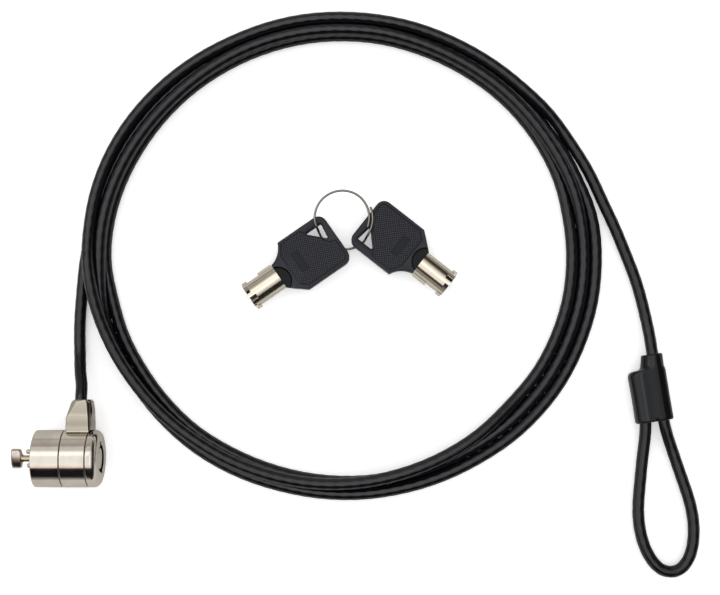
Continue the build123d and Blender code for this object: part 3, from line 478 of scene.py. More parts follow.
# ------------------------------------------------------------------ shader helpers
class Graph:
    """Short ways to add nodes to a shader tree."""

    def __init__(self, tree, coordinate):
        self.tree = tree
        tree.nodes.clear()
        self.coordinate = self.add("TexCoord").outputs[coordinate]

    def add(self, kind, inputs=None, **settings):
        node = self.tree.nodes.new("ShaderNode" + kind)
        for key, value in settings.items():
            setattr(node, key, value)
        self.fill(node, inputs or {})
        return node

    def fill(self, node, inputs):
        """Link or set the node's inputs."""
        for key, value in inputs.items():
            socket = node.inputs[key]
            if isinstance(value, bpy.types.NodeSocket):
                self.tree.links.new(value, socket)
            elif isinstance(value, tuple) and len(value) == 3 and socket.type == "RGBA":
                socket.default_value = (*value, 1.0)
            else:
                socket.default_value = value

    def math(self, operation, *values, clamp=False):
        inputs = dict(enumerate(values))
        return self.add("Math", inputs, operation=operation, use_clamp=clamp).outputs[0]

    def times(self, a, b):
        return self.math("MULTIPLY", a, b)

    def vary(self, base, texture, amount, clamp=False):
        """base, moved up and down by a texture centred on 0.5."""
        swing = self.times(self.math("SUBTRACT", texture, 0.5), amount)
        return self.math("ADD", base, swing, clamp=clamp)

    def scaled(self, scale):
        """Coordinates times scale, which may be per axis."""
        scale = scale if isinstance(scale, tuple) else (scale,) * 3
        return self.add("Mapping", {"Vector": self.coordinate, "Scale": scale}).outputs[0]

    def noise(self, scale, detail=3.0, rough=0.55, distortion=0.0):
        return self.add("TexNoise", {
            "Scale": 1.0, "Detail": detail, "Roughness": rough, "Distortion": distortion,
            "Vector": self.scaled(scale)}).outputs["Fac"]

    def cells(self, scale):
        inputs = {"Scale": 1.0, "Vector": self.scaled(scale)}
        return self.add("TexVoronoi", inputs).outputs["Distance"]

    def ramp(self, value, low, high, start, end):
        inputs = {0: value, 1: low, 2: high, 3: start, 4: end}
        return self.add("MapRange", inputs, interpolation_type="SMOOTHSTEP").outputs[0]

    def rise(self, value, low, high, peak=1.0):
        """Smooth step from 0 at low to peak at high."""
        return self.ramp(value, low, high, 0.0, peak)

    def fall(self, value, low, high):
        """Smooth step from 1 at low to 0 at high."""
        return self.ramp(value, low, high, 1.0, 0.0)

    def band(self, value, rise, fall):
        """1 between a rise (low, high) and a fall (low, high), 0 outside."""
        return self.times(self.rise(value, *rise), self.fall(value, *fall))

    def mix(self, factor, a, b):
        return self.add("Mix", {0: factor, 6: a, 7: b}, data_type="RGBA").outputs[2]

    def axis(self, name):
        return self.add("SeparateXYZ", {0: self.coordinate}).outputs[name]

    def edges(self, low, high):
        """Mask of the outer edges."""
        return self.rise(self.add("NewGeometry").outputs["Pointiness"], low, high)

    def bump(self, height, strength, distance):
        inputs = {"Strength": strength, "Distance": distance, "Height": height}
        return self.add("Bump", inputs).outputs[0]


class Surface(Graph):
    """A material with one Principled shader."""

    def __init__(self, name):
        self.material = bpy.data.materials.new(name)
        self.material.use_nodes = True
        super().__init__(self.material.node_tree, "Object")
        self.shader = self.add("BsdfPrincipled")
        self.add("OutputMaterial", {"Surface": self.shader.outputs[0]})

    def finish(self, inputs):
        self.fill(self.shader, inputs)
        return self.material


def shade(colour, factor):
    return tuple(min(1.0, factor * c) for c in colour)


# ------------------------------------------------------------------ materials
def metal(name, light, dark, rough, grain=900.0, grain_bump=0.05, spread=0.05, tint=None):
    """Plated or turned metal: tarnish patches, fine lay, hairline scratches, rubbed edges.

    spread is how far the roughness wanders; tint(graph, colour) may recolour parts.
    """
    m = Surface(name)
    patch = m.noise(scale=170.0, detail=4.0, rough=0.6)
    speck = m.noise(scale=1500.0, detail=2.0, rough=0.5)
    lay = m.noise(scale=grain, detail=3.0, rough=0.6)
    scratch = m.noise(scale=(260.0, 5200.0, 5200.0), detail=2.0, rough=0.5, distortion=0.4)
    colour = m.mix(m.rise(patch, low=0.35, high=0.68), light, dark)
    colour = m.mix(m.rise(speck, low=0.70, high=0.86, peak=0.5), colour, shade(dark, 0.6))
    rubbed = m.times(m.edges(low=0.505, high=0.56), 0.35)
    colour = m.mix(rubbed, colour, shade(light, 1.12))
    if tint:
        colour = tint(m, colour)
    roughness = m.vary(rough, patch, 2 * spread)
    grooves = m.times(m.rise(scratch, low=0.70, high=0.76, peak=-1.0), 0.12)
    return m.finish({
        "Base Color": colour, "Metallic": 1.0,
        "Roughness": m.vary(roughness, lay, spread, clamp=True),
        "Normal": m.bump(m.math("ADD", lay, grooves), strength=grain_bump, distance=0.000004)})


PLASTIC_TINT = (0.88, 0.94, 1.0)     # bluish reflections


def plastic(name, base, pale, rough, grain=2600.0, grain_bump=0.15, dust=0.12, spec=0.5):
    """Moulded plastic: fine spark texture, faint mottling, paler rubbed edges, specks of dust."""
    m = Surface(name)
    patch = m.noise(scale=120.0, detail=3.0, rough=0.6)
    fine = m.noise(scale=grain, detail=3.0, rough=0.6)
    colour = m.mix(m.rise(patch, low=0.3, high=0.75), base, shade(base, 1.35))
    colour = m.mix(m.times(m.edges(low=0.51, high=0.60), 0.45), colour, pale)
    specks = m.fall(m.cells(scale=900.0), low=0.10, high=0.16)
    colour = m.mix(m.times(specks, dust), colour, pale)
    roughness = m.vary(rough, patch, 0.16)
    return m.finish({
        "Base Color": colour, "Roughness": m.vary(roughness, fine, 0.10, clamp=True),
        "Coat Roughness": 0.12, "Specular IOR Level": spec, "Specular Tint": PLASTIC_TINT,
        "Normal": m.bump(fine, strength=grain_bump, distance=0.00003)})


def neck_tone_and_painted_shade(m, colour):
    """The cast neck is warmer and duller than the turned ring, with painted shade and a painted
    highlight on it.
    """
    y = m.axis("Y")
    # painted shade darkens the upper wedge, whose sloping faces turn from the light; a painted
    # highlight crosses it along the crease; and a band of painted shade darkens the flat foot above
    # the base
    upper_painted_shade = m.rise(y, low=0.0146, high=0.0156)
    tone = m.mix(upper_painted_shade, (0.485, 0.45, 0.375), (0.405, 0.376, 0.313))
    crease_painted_highlight = m.band(y, rise=(0.0138, 0.0143), fall=(0.0145, 0.0150))
    tone = m.mix(m.times(crease_painted_highlight, 0.55), tone, (0.60, 0.565, 0.49))
    foot_painted_shade = m.band(y, rise=(0.0100, 0.0113), fall=(0.0118, 0.0137))
    tone = m.mix(m.times(foot_painted_shade, 0.60), tone, (0.28, 0.26, 0.215))
    return m.mix(m.rise(y, low=0.00925, high=0.00938, peak=0.85), colour, tone)


def keyway_painted_shade(m, colour):
    """The walls of the ring-shaped keyway are painted nearly black, as painted shade inside the slot.
    """
    x, y, z = (m.axis(name) for name in "XYZ")
    radius = m.math("SQRT", m.math("ADD", m.times(y, y), m.times(z, z)))
    within = m.fall(radius, low=0.0062, high=0.0064)
    below_face = m.fall(x, low=0.02142, high=0.02154)
    # painted shade: nearly black inside the keyway
    return m.mix(m.times(within, below_face), colour, (0.012, 0.010, 0.010))


def spindle_painted_reflection(m, colour):
    """Painted warm reflection: the spindle behind the T-bar's head is painted yellower."""
    behind = m.rise(m.axis("X"), low=-0.0050, high=-0.0047)
    return m.mix(m.times(behind, 0.8), colour, (0.58, 0.50, 0.34))


def rope_core():
    """Bare steel wire."""
    m = Surface("rope_core_wire")
    wire = m.noise(scale=900.0)
    return m.finish({
        "Base Color": m.mix(wire, (0.42, 0.42, 0.41), (0.60, 0.60, 0.59)),
        "Metallic": 1.0, "Roughness": 0.35,
        "Normal": m.bump(wire, strength=0.4, distance=0.0001)})


def cable_pvc():
    """Satin-gloss PVC: faint mottling, scuffs and a soft ripple."""
    m = Surface("cable_jacket_pvc")
    patch = m.noise(scale=60.0, detail=4.0, rough=0.6)
    fine = m.noise(scale=2200.0, rough=0.6)
    ripple = m.noise(scale=420.0)
    scuff = m.noise(scale=(700.0, 700.0, 2400.0), rough=0.6, distortion=0.6)
    colour = m.mix(patch, (0.0028, 0.0028, 0.0040), (0.0055, 0.0053, 0.0064))
    scuffed = m.times(m.rise(scuff, low=0.68, high=0.80), 0.20)
    roughness = m.vary(0.15, patch, 0.12)
    height = m.math("ADD", m.times(ripple, 1.0), m.times(fine, 0.25))
    return m.finish({
        "Base Color": m.mix(scuffed, colour, (0.05, 0.05, 0.055)),
        "Roughness": m.vary(roughness, ripple, 0.16, clamp=True),
        "Specular IOR Level": 0.58, "Specular Tint": PLASTIC_TINT,
        "Normal": m.bump(height, strength=0.30, distance=0.00002)})


# Colours are (light, dark) for metals and (base, pale) for plastics, followed by the roughness.
NICKEL = (0.80, 0.765, 0.715), (0.70, 0.665, 0.61)
SATIN = {"grain": (9000.0, 900.0, 900.0), "grain_bump": 0.12}
TURNED = (4000.0, 400.0, 400.0)      # lay round the X axis
TUBE = {"grain": 700.0, "grain_bump": 0.06}
M = {
    "barrel": metal("barrel_satin_nickel", *NICKEL, 0.13, spread=0.012, **SATIN),
    "collar": metal("collar_satin_nickel", *NICKEL, 0.135, spread=0.014, tint=neck_tone_and_painted_shade, **SATIN),
    "face": metal("rear_face_nickel", *NICKEL, 0.14, spread=0.02, tint=keyway_painted_shade, **SATIN),
    "bright": metal("bright_nickel", (0.82, 0.79, 0.74), (0.72, 0.69, 0.64), 0.13,
                    grain_bump=0.04),
    "t_bar": metal("t_bar_nickel", (0.68, 0.64, 0.60), (0.56, 0.525, 0.48), 0.19,
                   tint=spindle_painted_reflection),
    "key_tube": metal("key_tube_nickel", (0.77, 0.725, 0.635), (0.69, 0.645, 0.55), 0.17, **TUBE),
    "steel": metal("turned_steel", (0.62, 0.61, 0.59), (0.48, 0.47, 0.45), 0.30,
                   grain=TURNED, grain_bump=0.12),
    "spring": metal("spring_steel", (0.50, 0.49, 0.47), (0.34, 0.33, 0.31), 0.28,
                    grain=2500.0, grain_bump=0.10),
    "ring": metal("ring_wire_steel", (0.36, 0.35, 0.33), (0.27, 0.26, 0.245), 0.27,
                  grain=1200.0, grain_bump=0.01),
    "brass": metal("machined_brass", (0.80, 0.66, 0.36), (0.62, 0.48, 0.24), 0.26,
                   grain=TURNED, grain_bump=0.10),
    "aluminium": metal("crimp_aluminium", (0.78, 0.79, 0.80), (0.62, 0.63, 0.64), 0.36,
                       grain_bump=0.15),
    "nylon": plastic("dark_nylon", (0.012, 0.012, 0.012), (0.10, 0.10, 0.10), 0.55),
    "bow": plastic("key_bow_abs", (0.0085, 0.0085, 0.0125), (0.075, 0.075, 0.10), 0.36,
                   grain=3800.0, grain_bump=0.25, dust=0.08, spec=0.38),
    # painted shade: the scoop by the tube root takes a near-black copy of the bow plastic
    "scoop": plastic("key_bow_scoop_painted_shade", (0.0022, 0.0022, 0.0030), (0.012, 0.012, 0.015), 0.30,
                     spec=0.22),
    # painted shade: the tube's bore and its lugs take darker copies of the tube's nickel
    "bore": metal("key_tube_bore_painted_shade", (0.10, 0.09, 0.08), (0.04, 0.035, 0.03), 0.45),
    "lug": metal("key_lug_nickel_painted_shade", (0.40, 0.375, 0.33), (0.32, 0.30, 0.26), 0.24, **TUBE),
    # painted shade in the hatch grooves and painted highlight on the stud crowns: darker and lighter
    # copies of the bow plastic
    "groove": plastic("key_bow_groove_painted_shade", (0.0070, 0.0070, 0.0098), (0.030, 0.030, 0.038), 0.40,
                      spec=0.30, dust=0.0),
    "crown": plastic("key_bow_hatch_crown_painted_highlight", (0.0165, 0.0160, 0.0220), (0.08, 0.08, 0.11), 0.36,
                     grain=3800.0, grain_bump=0.25, dust=0.08, spec=0.58),
    "blank": plastic("key_bow_label_recess", (0.006, 0.006, 0.008), (0.05, 0.05, 0.06), 0.34,
                     spec=0.27),
    "boot": plastic("boot_gloss_pvc", (0.0035, 0.0035, 0.0042), (0.030, 0.030, 0.034), 0.09,
                    grain=1400.0, grain_bump=0.05, dust=0.05, spec=0.46),
    "core": rope_core(),
    "cable": cable_pvc(),
}

# CAD nodes by the material they take
CAD_LOOK = {
    "barrel": ["front_housing"], "face": ["rear_cap"], "collar": ["swivel_collar"],
    "t_bar": ["t_bar"], "bright": ["plug"],
    "steel": ["guard_pins", "body_retaining_pin", "spindle_cross_pin", "turn_stop_pin",
              "key_pins", "neck_ferrule"],
    "brass": ["thrust_washer", "driver_body", "driver_pins", "cylinder_sleeve"],
    "spring": ["pin_springs", "retaining_ring"],
    "nylon": ["front_collar_washer", "rear_collar_washer"],
    "cable": ["cable_jacket"], "core": ["cable_core"], "aluminium": ["crimp_sleeve"],
    "boot": ["loop_boot"], "key_tube": ["key_a_tube", "key_b_tube"],
    "bow": ["key_a_bow", "key_b_bow"], "ring": ["key_ring"],
}


def dress_cad():
    for look, names in CAD_LOOK.items():
        for name in names:
            materials = NODES[name].data.materials
            materials.clear()
            materials.append(M[look])


# ------------------------------------------------------------------ barrel
PIN_OFFSET, PIN_HOLE_R = 2.45, 0.78  # guard pins either side of the spindle


def front_shell():
    """Nose and outer wall, with the spigot that carries the collar behind it."""
    nose_bend, rear_bend = 0.42, 0.12
    profile = [(0.0, r) for r in (SPINDLE_HOLE_R, 1.3, 4.0, 7.2, 8.6)]
    profile += arc(nose_bend, BARREL_R - nose_bend, nose_bend, 180, 90, 8)
    profile += [(x, BARREL_R) for x in (0.55, 0.8, 3.0, 6.0, FRONT_LEN - 0.5, FRONT_LEN - 0.2)]
    profile += arc(FRONT_LEN - rear_bend, BARREL_R - rear_bend, rear_bend, 90, 0, 4)
    profile += [(FRONT_LEN, SPIGOT_R), (SPIGOT_END, SPIGOT_R), (SPIGOT_END, SPIGOT_BORE_R)]
    profile += [(2.5, SPIGOT_BORE_R), (2.5, SPINDLE_HOLE_R)]
    shell = lathe(profile, BARREL_SEGS)
    for offset in (PIN_OFFSET, -PIN_OFFSET):
        centre = (offset * math.cos(ROLL), offset * math.sin(ROLL))
        shell = boolean(shell, cylinder(PIN_HOLE_R, -1, 2.4, 40, centre=centre))
    piece("front_shell", shell, "lock_body", "front_housing", M["barrel"], 40)


T_BAR_LENGTH, T_BAR_WIDTH = 6.85, 2.8
# x, share of the length, share of the width
T_BAR_HEAD = [
    (-8.20, 0.78, 0.60), (-8.17, 0.86, 0.74), (-8.08, 0.93, 0.85), (-7.92, 0.975, 0.94),
    (-7.65, 1.0, 0.985), (-7.2, 1.0, 1.0), (-6.2, 1.0, 1.0), (-5.6, 0.995, 0.99),
    (-5.25, 0.97, 0.965), (-5.02, 0.92, 0.92), (-4.90, 0.85, 0.86),
]
# x, share of the block's section left in the round spindle
T_BAR_SPINDLE = [
    (-4.78, 0.62), (-4.66, 0.40), (-4.50, 0.22), (-4.28, 0.09), (-4.0, 0.02),
    (-3.7, 0.0), (-2.0, 0.0), (2.0, 0.0), (8.0, 0.0), (14.6, 0.0),
]


def t_bar_and_spindle():
    """A rounded block that necks down to the spindle."""
    stations = [(*head, 1.0) for head in T_BAR_HEAD]
    stations += [(x, 0.80, 0.82, block) for x, block in T_BAR_SPINDLE]
    segs = 64
    rows = []
    for x, length_share, width_share, block in stations:
        row = []
        for k in range(segs):
            turn = 2 * math.pi * k / segs
            c, s = math.cos(turn), math.sin(turn)
            y = 0.5 * T_BAR_LENGTH * length_share * bulge(c, 2.9)
            z = 0.5 * T_BAR_WIDTH * width_share * bulge(s, 2.25)
            row.append((x, y * block + SPINDLE_R * c * (1 - block),
                        z * block + SPINDLE_R * s * (1 - block)))
        rows.append(row)
    mesh = moved(clean(loft(rows)), ROLLED)
    piece("t_bar_and_spindle", mesh, "plug", "t_bar", M["t_bar"], 50)


def rear_cap():
    """Cap with a rounded rim and a round keyway with two notches."""
    front_bend, rim_bend, keyway_bend = 0.12, 2.0, 0.22
    keyway_r = 4.5
    profile = [(CAP_START, SPIGOT_R)]
    profile += arc(CAP_START + front_bend, BARREL_R - front_bend, front_bend, 180, 90, 4)
    profile += [(18.9, BARREL_R), (19.5, BARREL_R)]
    profile += arc(BARREL_LEN - rim_bend, BARREL_R - rim_bend, rim_bend, 90, 0, 22)
    profile += [(BARREL_LEN, r) for r in (7.3, 6.5, 4.95, 4.80, 4.72)]
    profile += arc(BARREL_LEN - keyway_bend, 4.72, keyway_bend, 0, -90, 4)
    profile += [(SPIGOT_END, keyway_r), (SPIGOT_END, SPIGOT_R)]
    cap = lathe(profile, BARREL_SEGS)
    for y0, y1 in ((3.0, 5.9), (-5.2, -3.0)):
        cap = boolean(cap, moved(box_mesh(15, 23, y0, y1, -0.8, 0.8), ROLLED))
    piece("rear_cap_shell", cap, "lock_body", "rear_cap", M["face"], 40)


# ------------------------------------------------------------------ swivel collar and neck
# Corners of the neck: x, y and half width in z
NECK_CORNERS = [
    (10.35, NECK_BASE_Y, 3.7), (10.35, 13.4, 3.7), (10.75, NECK_BASE_Y, NECK_HALF_Z),
    (10.8, 13.5, NECK_HALF_Z), (11.55, 18.7, 1.2), (12.1, NECK_TOP_Y - 0.25, 1.1),
    (12.6, NECK_TOP_Y, 1.0), (14.2, NECK_TOP_Y - 0.15, 3.55), (13.6, 18.9, 3.75),
    (16.7, NECK_TOP_Y - 0.15, 3.6), (17.7, NECK_TOP_Y, 2.2), (18.4, 19.1, 1.9),
    (17.15, 18.7, 3.72), (18.15, 18.6, 2.95), (17.75, 13.5, NECK_HALF_Z),
    (17.95, NECK_BASE_Y, NECK_HALF_Z), (18.55, 12.5, 3.75), (18.6, NECK_BASE_Y, 3.8),
    (19.05, 12.5, 2.2), (19.1, NECK_BASE_Y, 2.2), (18.9, 16.2, 2.1),
]


def collar_and_neck():
    bend = 0.14
    start, end = COLLAR_START, COLLAR_END
    profile = [(start, COLLAR_BORE_R)]
    profile += arc(start + bend, BARREL_R - bend, bend, 180, 90, 4)
    profile += [(start + inward, BARREL_R) for inward in (0.22, 0.5, 3.0)]
    profile += [(end - inward, BARREL_R) for inward in (3.0, 0.5, 0.22)]
    profile += arc(end - bend, BARREL_R - bend, bend, 90, 0, 4)
    profile += [(end, COLLAR_BORE_R)]
    ring = lathe(profile, BARREL_SEGS)

    neck = hull([(x, y, side * half) for side in (1, -1) for x, y, half in NECK_CORNERS])
    neck = modified(neck, "BEVEL", width=0.26, segments=4, limit_method="ANGLE",
                    angle_limit=math.radians(9), use_clamp_overlap=True, harden_normals=False)
    stem = box_mesh(10.6, end - 0.01, 7.9, NECK_BASE_Y + 0.5, -3.2, 3.2)
    body = boolean(boolean(ring, stem, "UNION"), neck, "UNION")

    cable_exit = [(15.0, 0), (15.0, 2.1), (NECK_TOP_Y - 0.35, 2.1), (NECK_TOP_Y + 0.4, 2.75),
                  (NECK_TOP_Y + 0.4, 0)]
    on_neck = {"axis": "Y", "centre": (NECK_X, 0)}
    body = boolean(body, cylinder(COLLAR_BORE_R, start - 3, end + 3, BARREL_SEGS))
    body = boolean(body, cylinder(BARREL_R + 0.12, end, end + 4, BARREL_SEGS))
    body = boolean(body, cylinder(2.83, 2.0, 15.5, 72, **on_neck))
    body = boolean(body, lathe(cable_exit, 72, **on_neck))
    piece("collar_and_neck", body, "collar", "swivel_collar", M["collar"], 28,
          weighted=True)


# ------------------------------------------------------------------ cable
CABLE_R = 1.982
COIL_EXTRA_R = 0.085                 # the coil is slightly thicker than the ends
STRANDS, LAY, RIDGE = 6, 26.0, 0.032  # number, twist length and relief of the laid strands


def ease(distance, length):
    """0 to 1 over a length."""
    return min(1.0, max(0.0, distance / length))


def rope_radius(distance, total, angles):
    """Jacket radius with the faint ridges of the laid strands under it."""
    fade = ease(distance - 24.0, 6.0) * ease(total - 10.0 - distance, 6.0)
    slow = 0.010 * math.sin(distance / 23.0) + 0.008 * math.sin(distance / 7.3 + 1.0)
    ridge = np.cos(STRANDS * (angles - 2 * np.pi * distance / LAY))
    coil = ease(distance - 235.0, 30.0) * ease(total - 95.0 - distance, 30.0)
    return CABLE_R + COIL_EXTRA_R * coil + fade * (RIDGE * ridge - 0.014 + slow * 0.8)


def cable_jacket():
    step, segs = ((0.85, 30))
    jacket = tube_mesh(CABLE_PATH, step, rope_radius, segs)
    piece("jacket_laid_rope", jacket, "cable", "cable_jacket", M["cable"], 60)


# ------------------------------------------------------------------ boot over the crimp
# In the boot's own frame y runs along the strands and x across them.
BOOT_HALF_X, BOOT_HALF_Z = 6.4, 4.2
BOOT_POWER, BOOT_VALLEY = 2.9, 0.085  # squareness, and depth of the valley between the strands
BOOT_RIM = 0.9                       # length of the rounded rim at either end
SHOULDER_Y, COLLAR_RIM_Y, BOOT_END_Y = 15.75, 21.7, 22.6
# Hollow and collar past the shoulder: y, left edge, half thickness, power, valley
BOOT_COLLAR = [
    (17.66, -4.0, 4.02, 2.75, 0.05), (17.72, -3.4, 3.99, 2.7, 0.04),
    (17.80, -2.85, 3.95, 2.6, 0.03), (17.92, -2.4, 3.90, 2.5, 0.02),
    (18.12, -2.08, 3.85, 2.4, 0.0), (18.45, -1.86, 3.80, 2.3, 0.0),
    (18.95, -1.68, 3.76, 2.2, 0.0), (19.6, -1.50, 3.73, 2.12, 0.0),
    (20.4, -1.32, 3.70, 2.06, 0.0), (21.2, -1.15, 3.70, 2.03, 0.0),
]


def boot_section(y, left, right, half_z, power, valley, shrink=0.0):
    """Superellipse whose faces fall from a crest on the left to a nearly flat right side."""
    middle, half_x = (left + right) / 2, (right - left) / 2 - shrink
    row = []
    for k in range(96):
        turn = 2 * math.pi * k / 96
        x = half_x * bulge(math.cos(turn), power)
        z = (half_z - shrink) * bulge(math.sin(turn), power)
        slope = 1 / (1 + math.exp(-(x + 1.7) / 0.55))
        lift = 1 / (1 + math.exp(-(x - 3.0) / 0.9))
        row.append((middle + x, y, z * (1.0 - valley * slope + 0.10 * valley * lift)))
    return row


def boot_right(y):
    """Right edge: a faint waist, then a small step in and a slow swell."""
    if y < 16.8:
        return BOOT_HALF_X - 0.07 * math.sin(y / 16.8 * math.pi)
    return BOOT_HALF_X - 0.30 * min(1.0, (y - 16.8) / 1.4) + 0.22 * ease(y - 18.6, 3.5)


def rim_shrink(depth, share):
    """Quarter-round shrink, from 0 at share 0 to depth at share 1."""
    return depth * (1 - math.sqrt(max(0.0, 1 - share ** 2)))


def boot_mesh():
    """A soft box over both strands, a rounded shoulder, and a collar round the strand at +x."""
    rows = []
    for y in (0.0, 0.05, 0.16, 0.34, 0.58, BOOT_RIM):
        rows.append(boot_section(y, -BOOT_HALF_X, BOOT_HALF_X, BOOT_HALF_Z, BOOT_POWER,
                                 BOOT_VALLEY, rim_shrink(0.62, 1 - y / BOOT_RIM)))
    for k in range(1, 15):
        y = BOOT_RIM + 14.8 * k / 15
        left = -BOOT_HALF_X + 0.10 * math.sin((y - BOOT_RIM) / 14.85 * math.pi)
        rows.append(boot_section(y, left, boot_right(y), BOOT_HALF_Z, BOOT_POWER, BOOT_VALLEY))
    for k in range(13):
        share = k / 12
        turn = math.pi / 2 * k / 12
        y = SHOULDER_Y + 1.85 * math.sin(turn)
        rows.append(boot_section(
            y, -BOOT_HALF_X + 1.9 * (1 - math.cos(turn)), boot_right(y),
            BOOT_HALF_Z - 0.15 * (1 - math.cos(turn)), BOOT_POWER - 0.1 * share,
            BOOT_VALLEY * (1 - 0.3 * share)))
    for y, left, half_z, power, valley in BOOT_COLLAR:
        rows.append(boot_section(y, left, boot_right(y), half_z, power, valley))
    for y in (COLLAR_RIM_Y, 21.95, 22.2, 22.4, 22.53, BOOT_END_Y):
        shrink = rim_shrink(0.55, (y - COLLAR_RIM_Y) / BOOT_RIM)
        rows.append(boot_section(y, -1.06, boot_right(y), 3.72, 2.02, 0.0, shrink))
    return outward(loft(rows, flip=True))


# Tools turned about y: (y, radius)
STRAND_MOUTH = [(-1, 0), (-1, 3.0), (0.0, 2.62), (0.9, 2.08), (3.0, 2.06), (3.0, 0)]
COLLAR_MOUTH = [(19.5, 0), (19.5, 2.06), (22.0, 2.06), (22.3, 2.2), (22.75, 2.7), (23.5, 2.9),
                (23.5, 0)]
WEB_NICK = [(-1.0, 0), (-1.0, 1.25), (0.2, 1.2), (1.0, 0.75), (1.35, 0.0)]


def boot():
    mesh = boot_mesh()
    for x, profile in ((-STRAND, STRAND_MOUTH), (STRAND, STRAND_MOUTH), (STRAND, COLLAR_MOUTH)):
        mesh = boolean(mesh, lathe(profile, 56, "Y", (x, 0.0)))
    for z in (3.9, -3.9):
        nick = lathe(WEB_NICK, 40, "Y", (0.25, 0.0))
        mesh = boolean(mesh, moved(nick, Matrix.Translation((0, 0, z))))
    mesh = moved(mesh, placement(CRIMP_POS, CRIMP_DIR))
    piece("boot_moulding", mesh, "cable", "loop_boot", M["boot"], 38)


# ------------------------------------------------------------------ key bows
# In a key's own frame x runs from the tube to the bow's end and z = 0 is its mid plane.
BOW_HALF_Z = 2.2
HATCH_PITCH = 0.72
PANEL_DEPTH = 0.27
STUD_HALF, STUD_CROWN, STUD_HEIGHT = 0.275, 0.165, 0.26
PANEL = rounded(
    [(6.75, -8.45), (23.05, -8.45), (23.05, -0.75), (21.0, -0.1), (14.55, 8.65), (6.75, 8.65),
     (4.3, 5.05), (4.3, -6.3)], [0.5, 2.0, 0.5, 1.0, 0.7, 0.5, 0.6, 0.6], 5)
HOLE = rounded([(22.1, 6.9), (21.3, 0.9), (15.4, 6.9)], 0.45, 5)
RECESS_X0, RECESS_X1, RECESS_HALF_Y = 7.6, 10.0, 3.6
SCOOP_CENTRE, SCOOP_R = (-1.2, -1.2), 4.9
# Cuts in the faces: (inset of the outline, height over the face)
PANEL_CUT = [(0.10, -PANEL_DEPTH), (0.05, -0.20), (-0.06, -0.03), (-0.12, 0.3)]
HOLE_RIM = [(-0.50, -0.6), (-0.48, -0.2), (-0.36, 0.4)]
RECESS_CUT = [(0.06, -0.44), (0.0, -0.36), (-0.05, 0.3)]
# Flare of the hole: (inset of the outline, depth below the face)
HOLE_FLARE = [(-0.34, -0.3), (-0.30, 0.0), (-0.10, 0.14), (0.0, 0.38)]


def bow_outline():
    shoulder = (6.1, 9.7)
    # the circle of the waist goes through the shoulder and two more points
    p0, p1, p2 = np.array(shoulder), np.array((3.75, 6.35)), np.array((0.0, 4.5))
    halves = 0.5 * np.array([(p1 @ p1 - p0 @ p0), (p2 @ p2 - p0 @ p0)])
    centre = np.linalg.solve(np.array([p1 - p0, p2 - p0]), halves)
    radius = np.linalg.norm(p0 - centre)
    start = math.atan2(*(p0 - centre)[::-1])
    end = math.atan2(*(p2 - centre)[::-1])
    sweep = (end - start + math.pi) % (2 * math.pi) - math.pi
    turns = [start + sweep * k / 12 for k in range(13)]
    waist = [(centre[0] + radius * math.cos(t), centre[1] + radius * math.sin(t)) for t in turns]
    corners = rounded([(0, -4.5), (6.0, -9.5), (24.1, -9.5), (24.1, 9.7), shoulder],
                      [0, 0.8, 3.0, 3.0, 0], 10)
    # the waist starts at the shoulder, so the corners leave it out
    outline = []
    for p in corners[:-1] + waist:
        if not outline or math.hypot(p[0] - outline[-1][0], p[1] - outline[-1][1]) > 0.02:
            outline.append(p)
    return outline


def from_scoop(x, y):
    return math.hypot(x - SCOOP_CENTRE[0], y - SCOOP_CENTRE[1])


def diamond(x, y, half):
    """Corners of a square of the given half side, standing on one corner."""
    reach = half * math.sqrt(2)
    turns = (0, math.pi / 2, math.pi, 1.5 * math.pi)
    return [(x + reach * math.cos(t), y + reach * math.sin(t)) for t in turns]


def hatch_studs(side):
    """Small cut pyramids on the panel floor, between crossed grooves at 45 degrees."""
    verts, faces = [], []
    floor_z = side * (BOW_HALF_Z - PANEL_DEPTH)
    panel = inset(PANEL, 0.10).tolist()
    hole = inset(HOLE, -0.62).tolist()
    margin = 0.45
    for i in range(-40, 60):
        for j in range(-60, 40):
            a, b = (i + 0.5) * HATCH_PITCH, (j + 0.5) * HATCH_PITCH
            x, y = (a - b) * math.sqrt(0.5), (a + b) * math.sqrt(0.5)
            if not (4 < x < 24 and -9 < y < 9):
                continue
            if RECESS_X0 - margin < x < RECESS_X1 + margin and abs(y) < RECESS_HALF_Y + margin:
                continue
            if from_scoop(x, y) < SCOOP_R + 0.35 and x < 6:
                continue
            foot = diamond(x, y, STUD_HALF)
            if not all(inside(panel, *p) for p in foot):
                continue
            if any(inside(hole, *p) for p in [*foot, (x, y)]):
                continue
            n = len(verts)
            verts += [(*p, floor_z - side * 0.03) for p in foot]
            verts += [(*p, floor_z + side * STUD_HEIGHT) for p in diamond(x, y, STUD_CROWN)]
            quads = [(n + k, n + (k + 1) % 4, n + 4 + (k + 1) % 4, n + 4 + k) for k in range(4)]
            quads += [(n + 4, n + 5, n + 6, n + 7), (n + 3, n + 2, n + 1, n)]
            faces += quads if side > 0 else [q[::-1] for q in quads]
    return mesh_from("studs", verts, faces)


def face_cut(outline, profile, side):
    return stack([(inset(outline, depth), side * (BOW_HALF_Z + z)) for depth, z in profile])


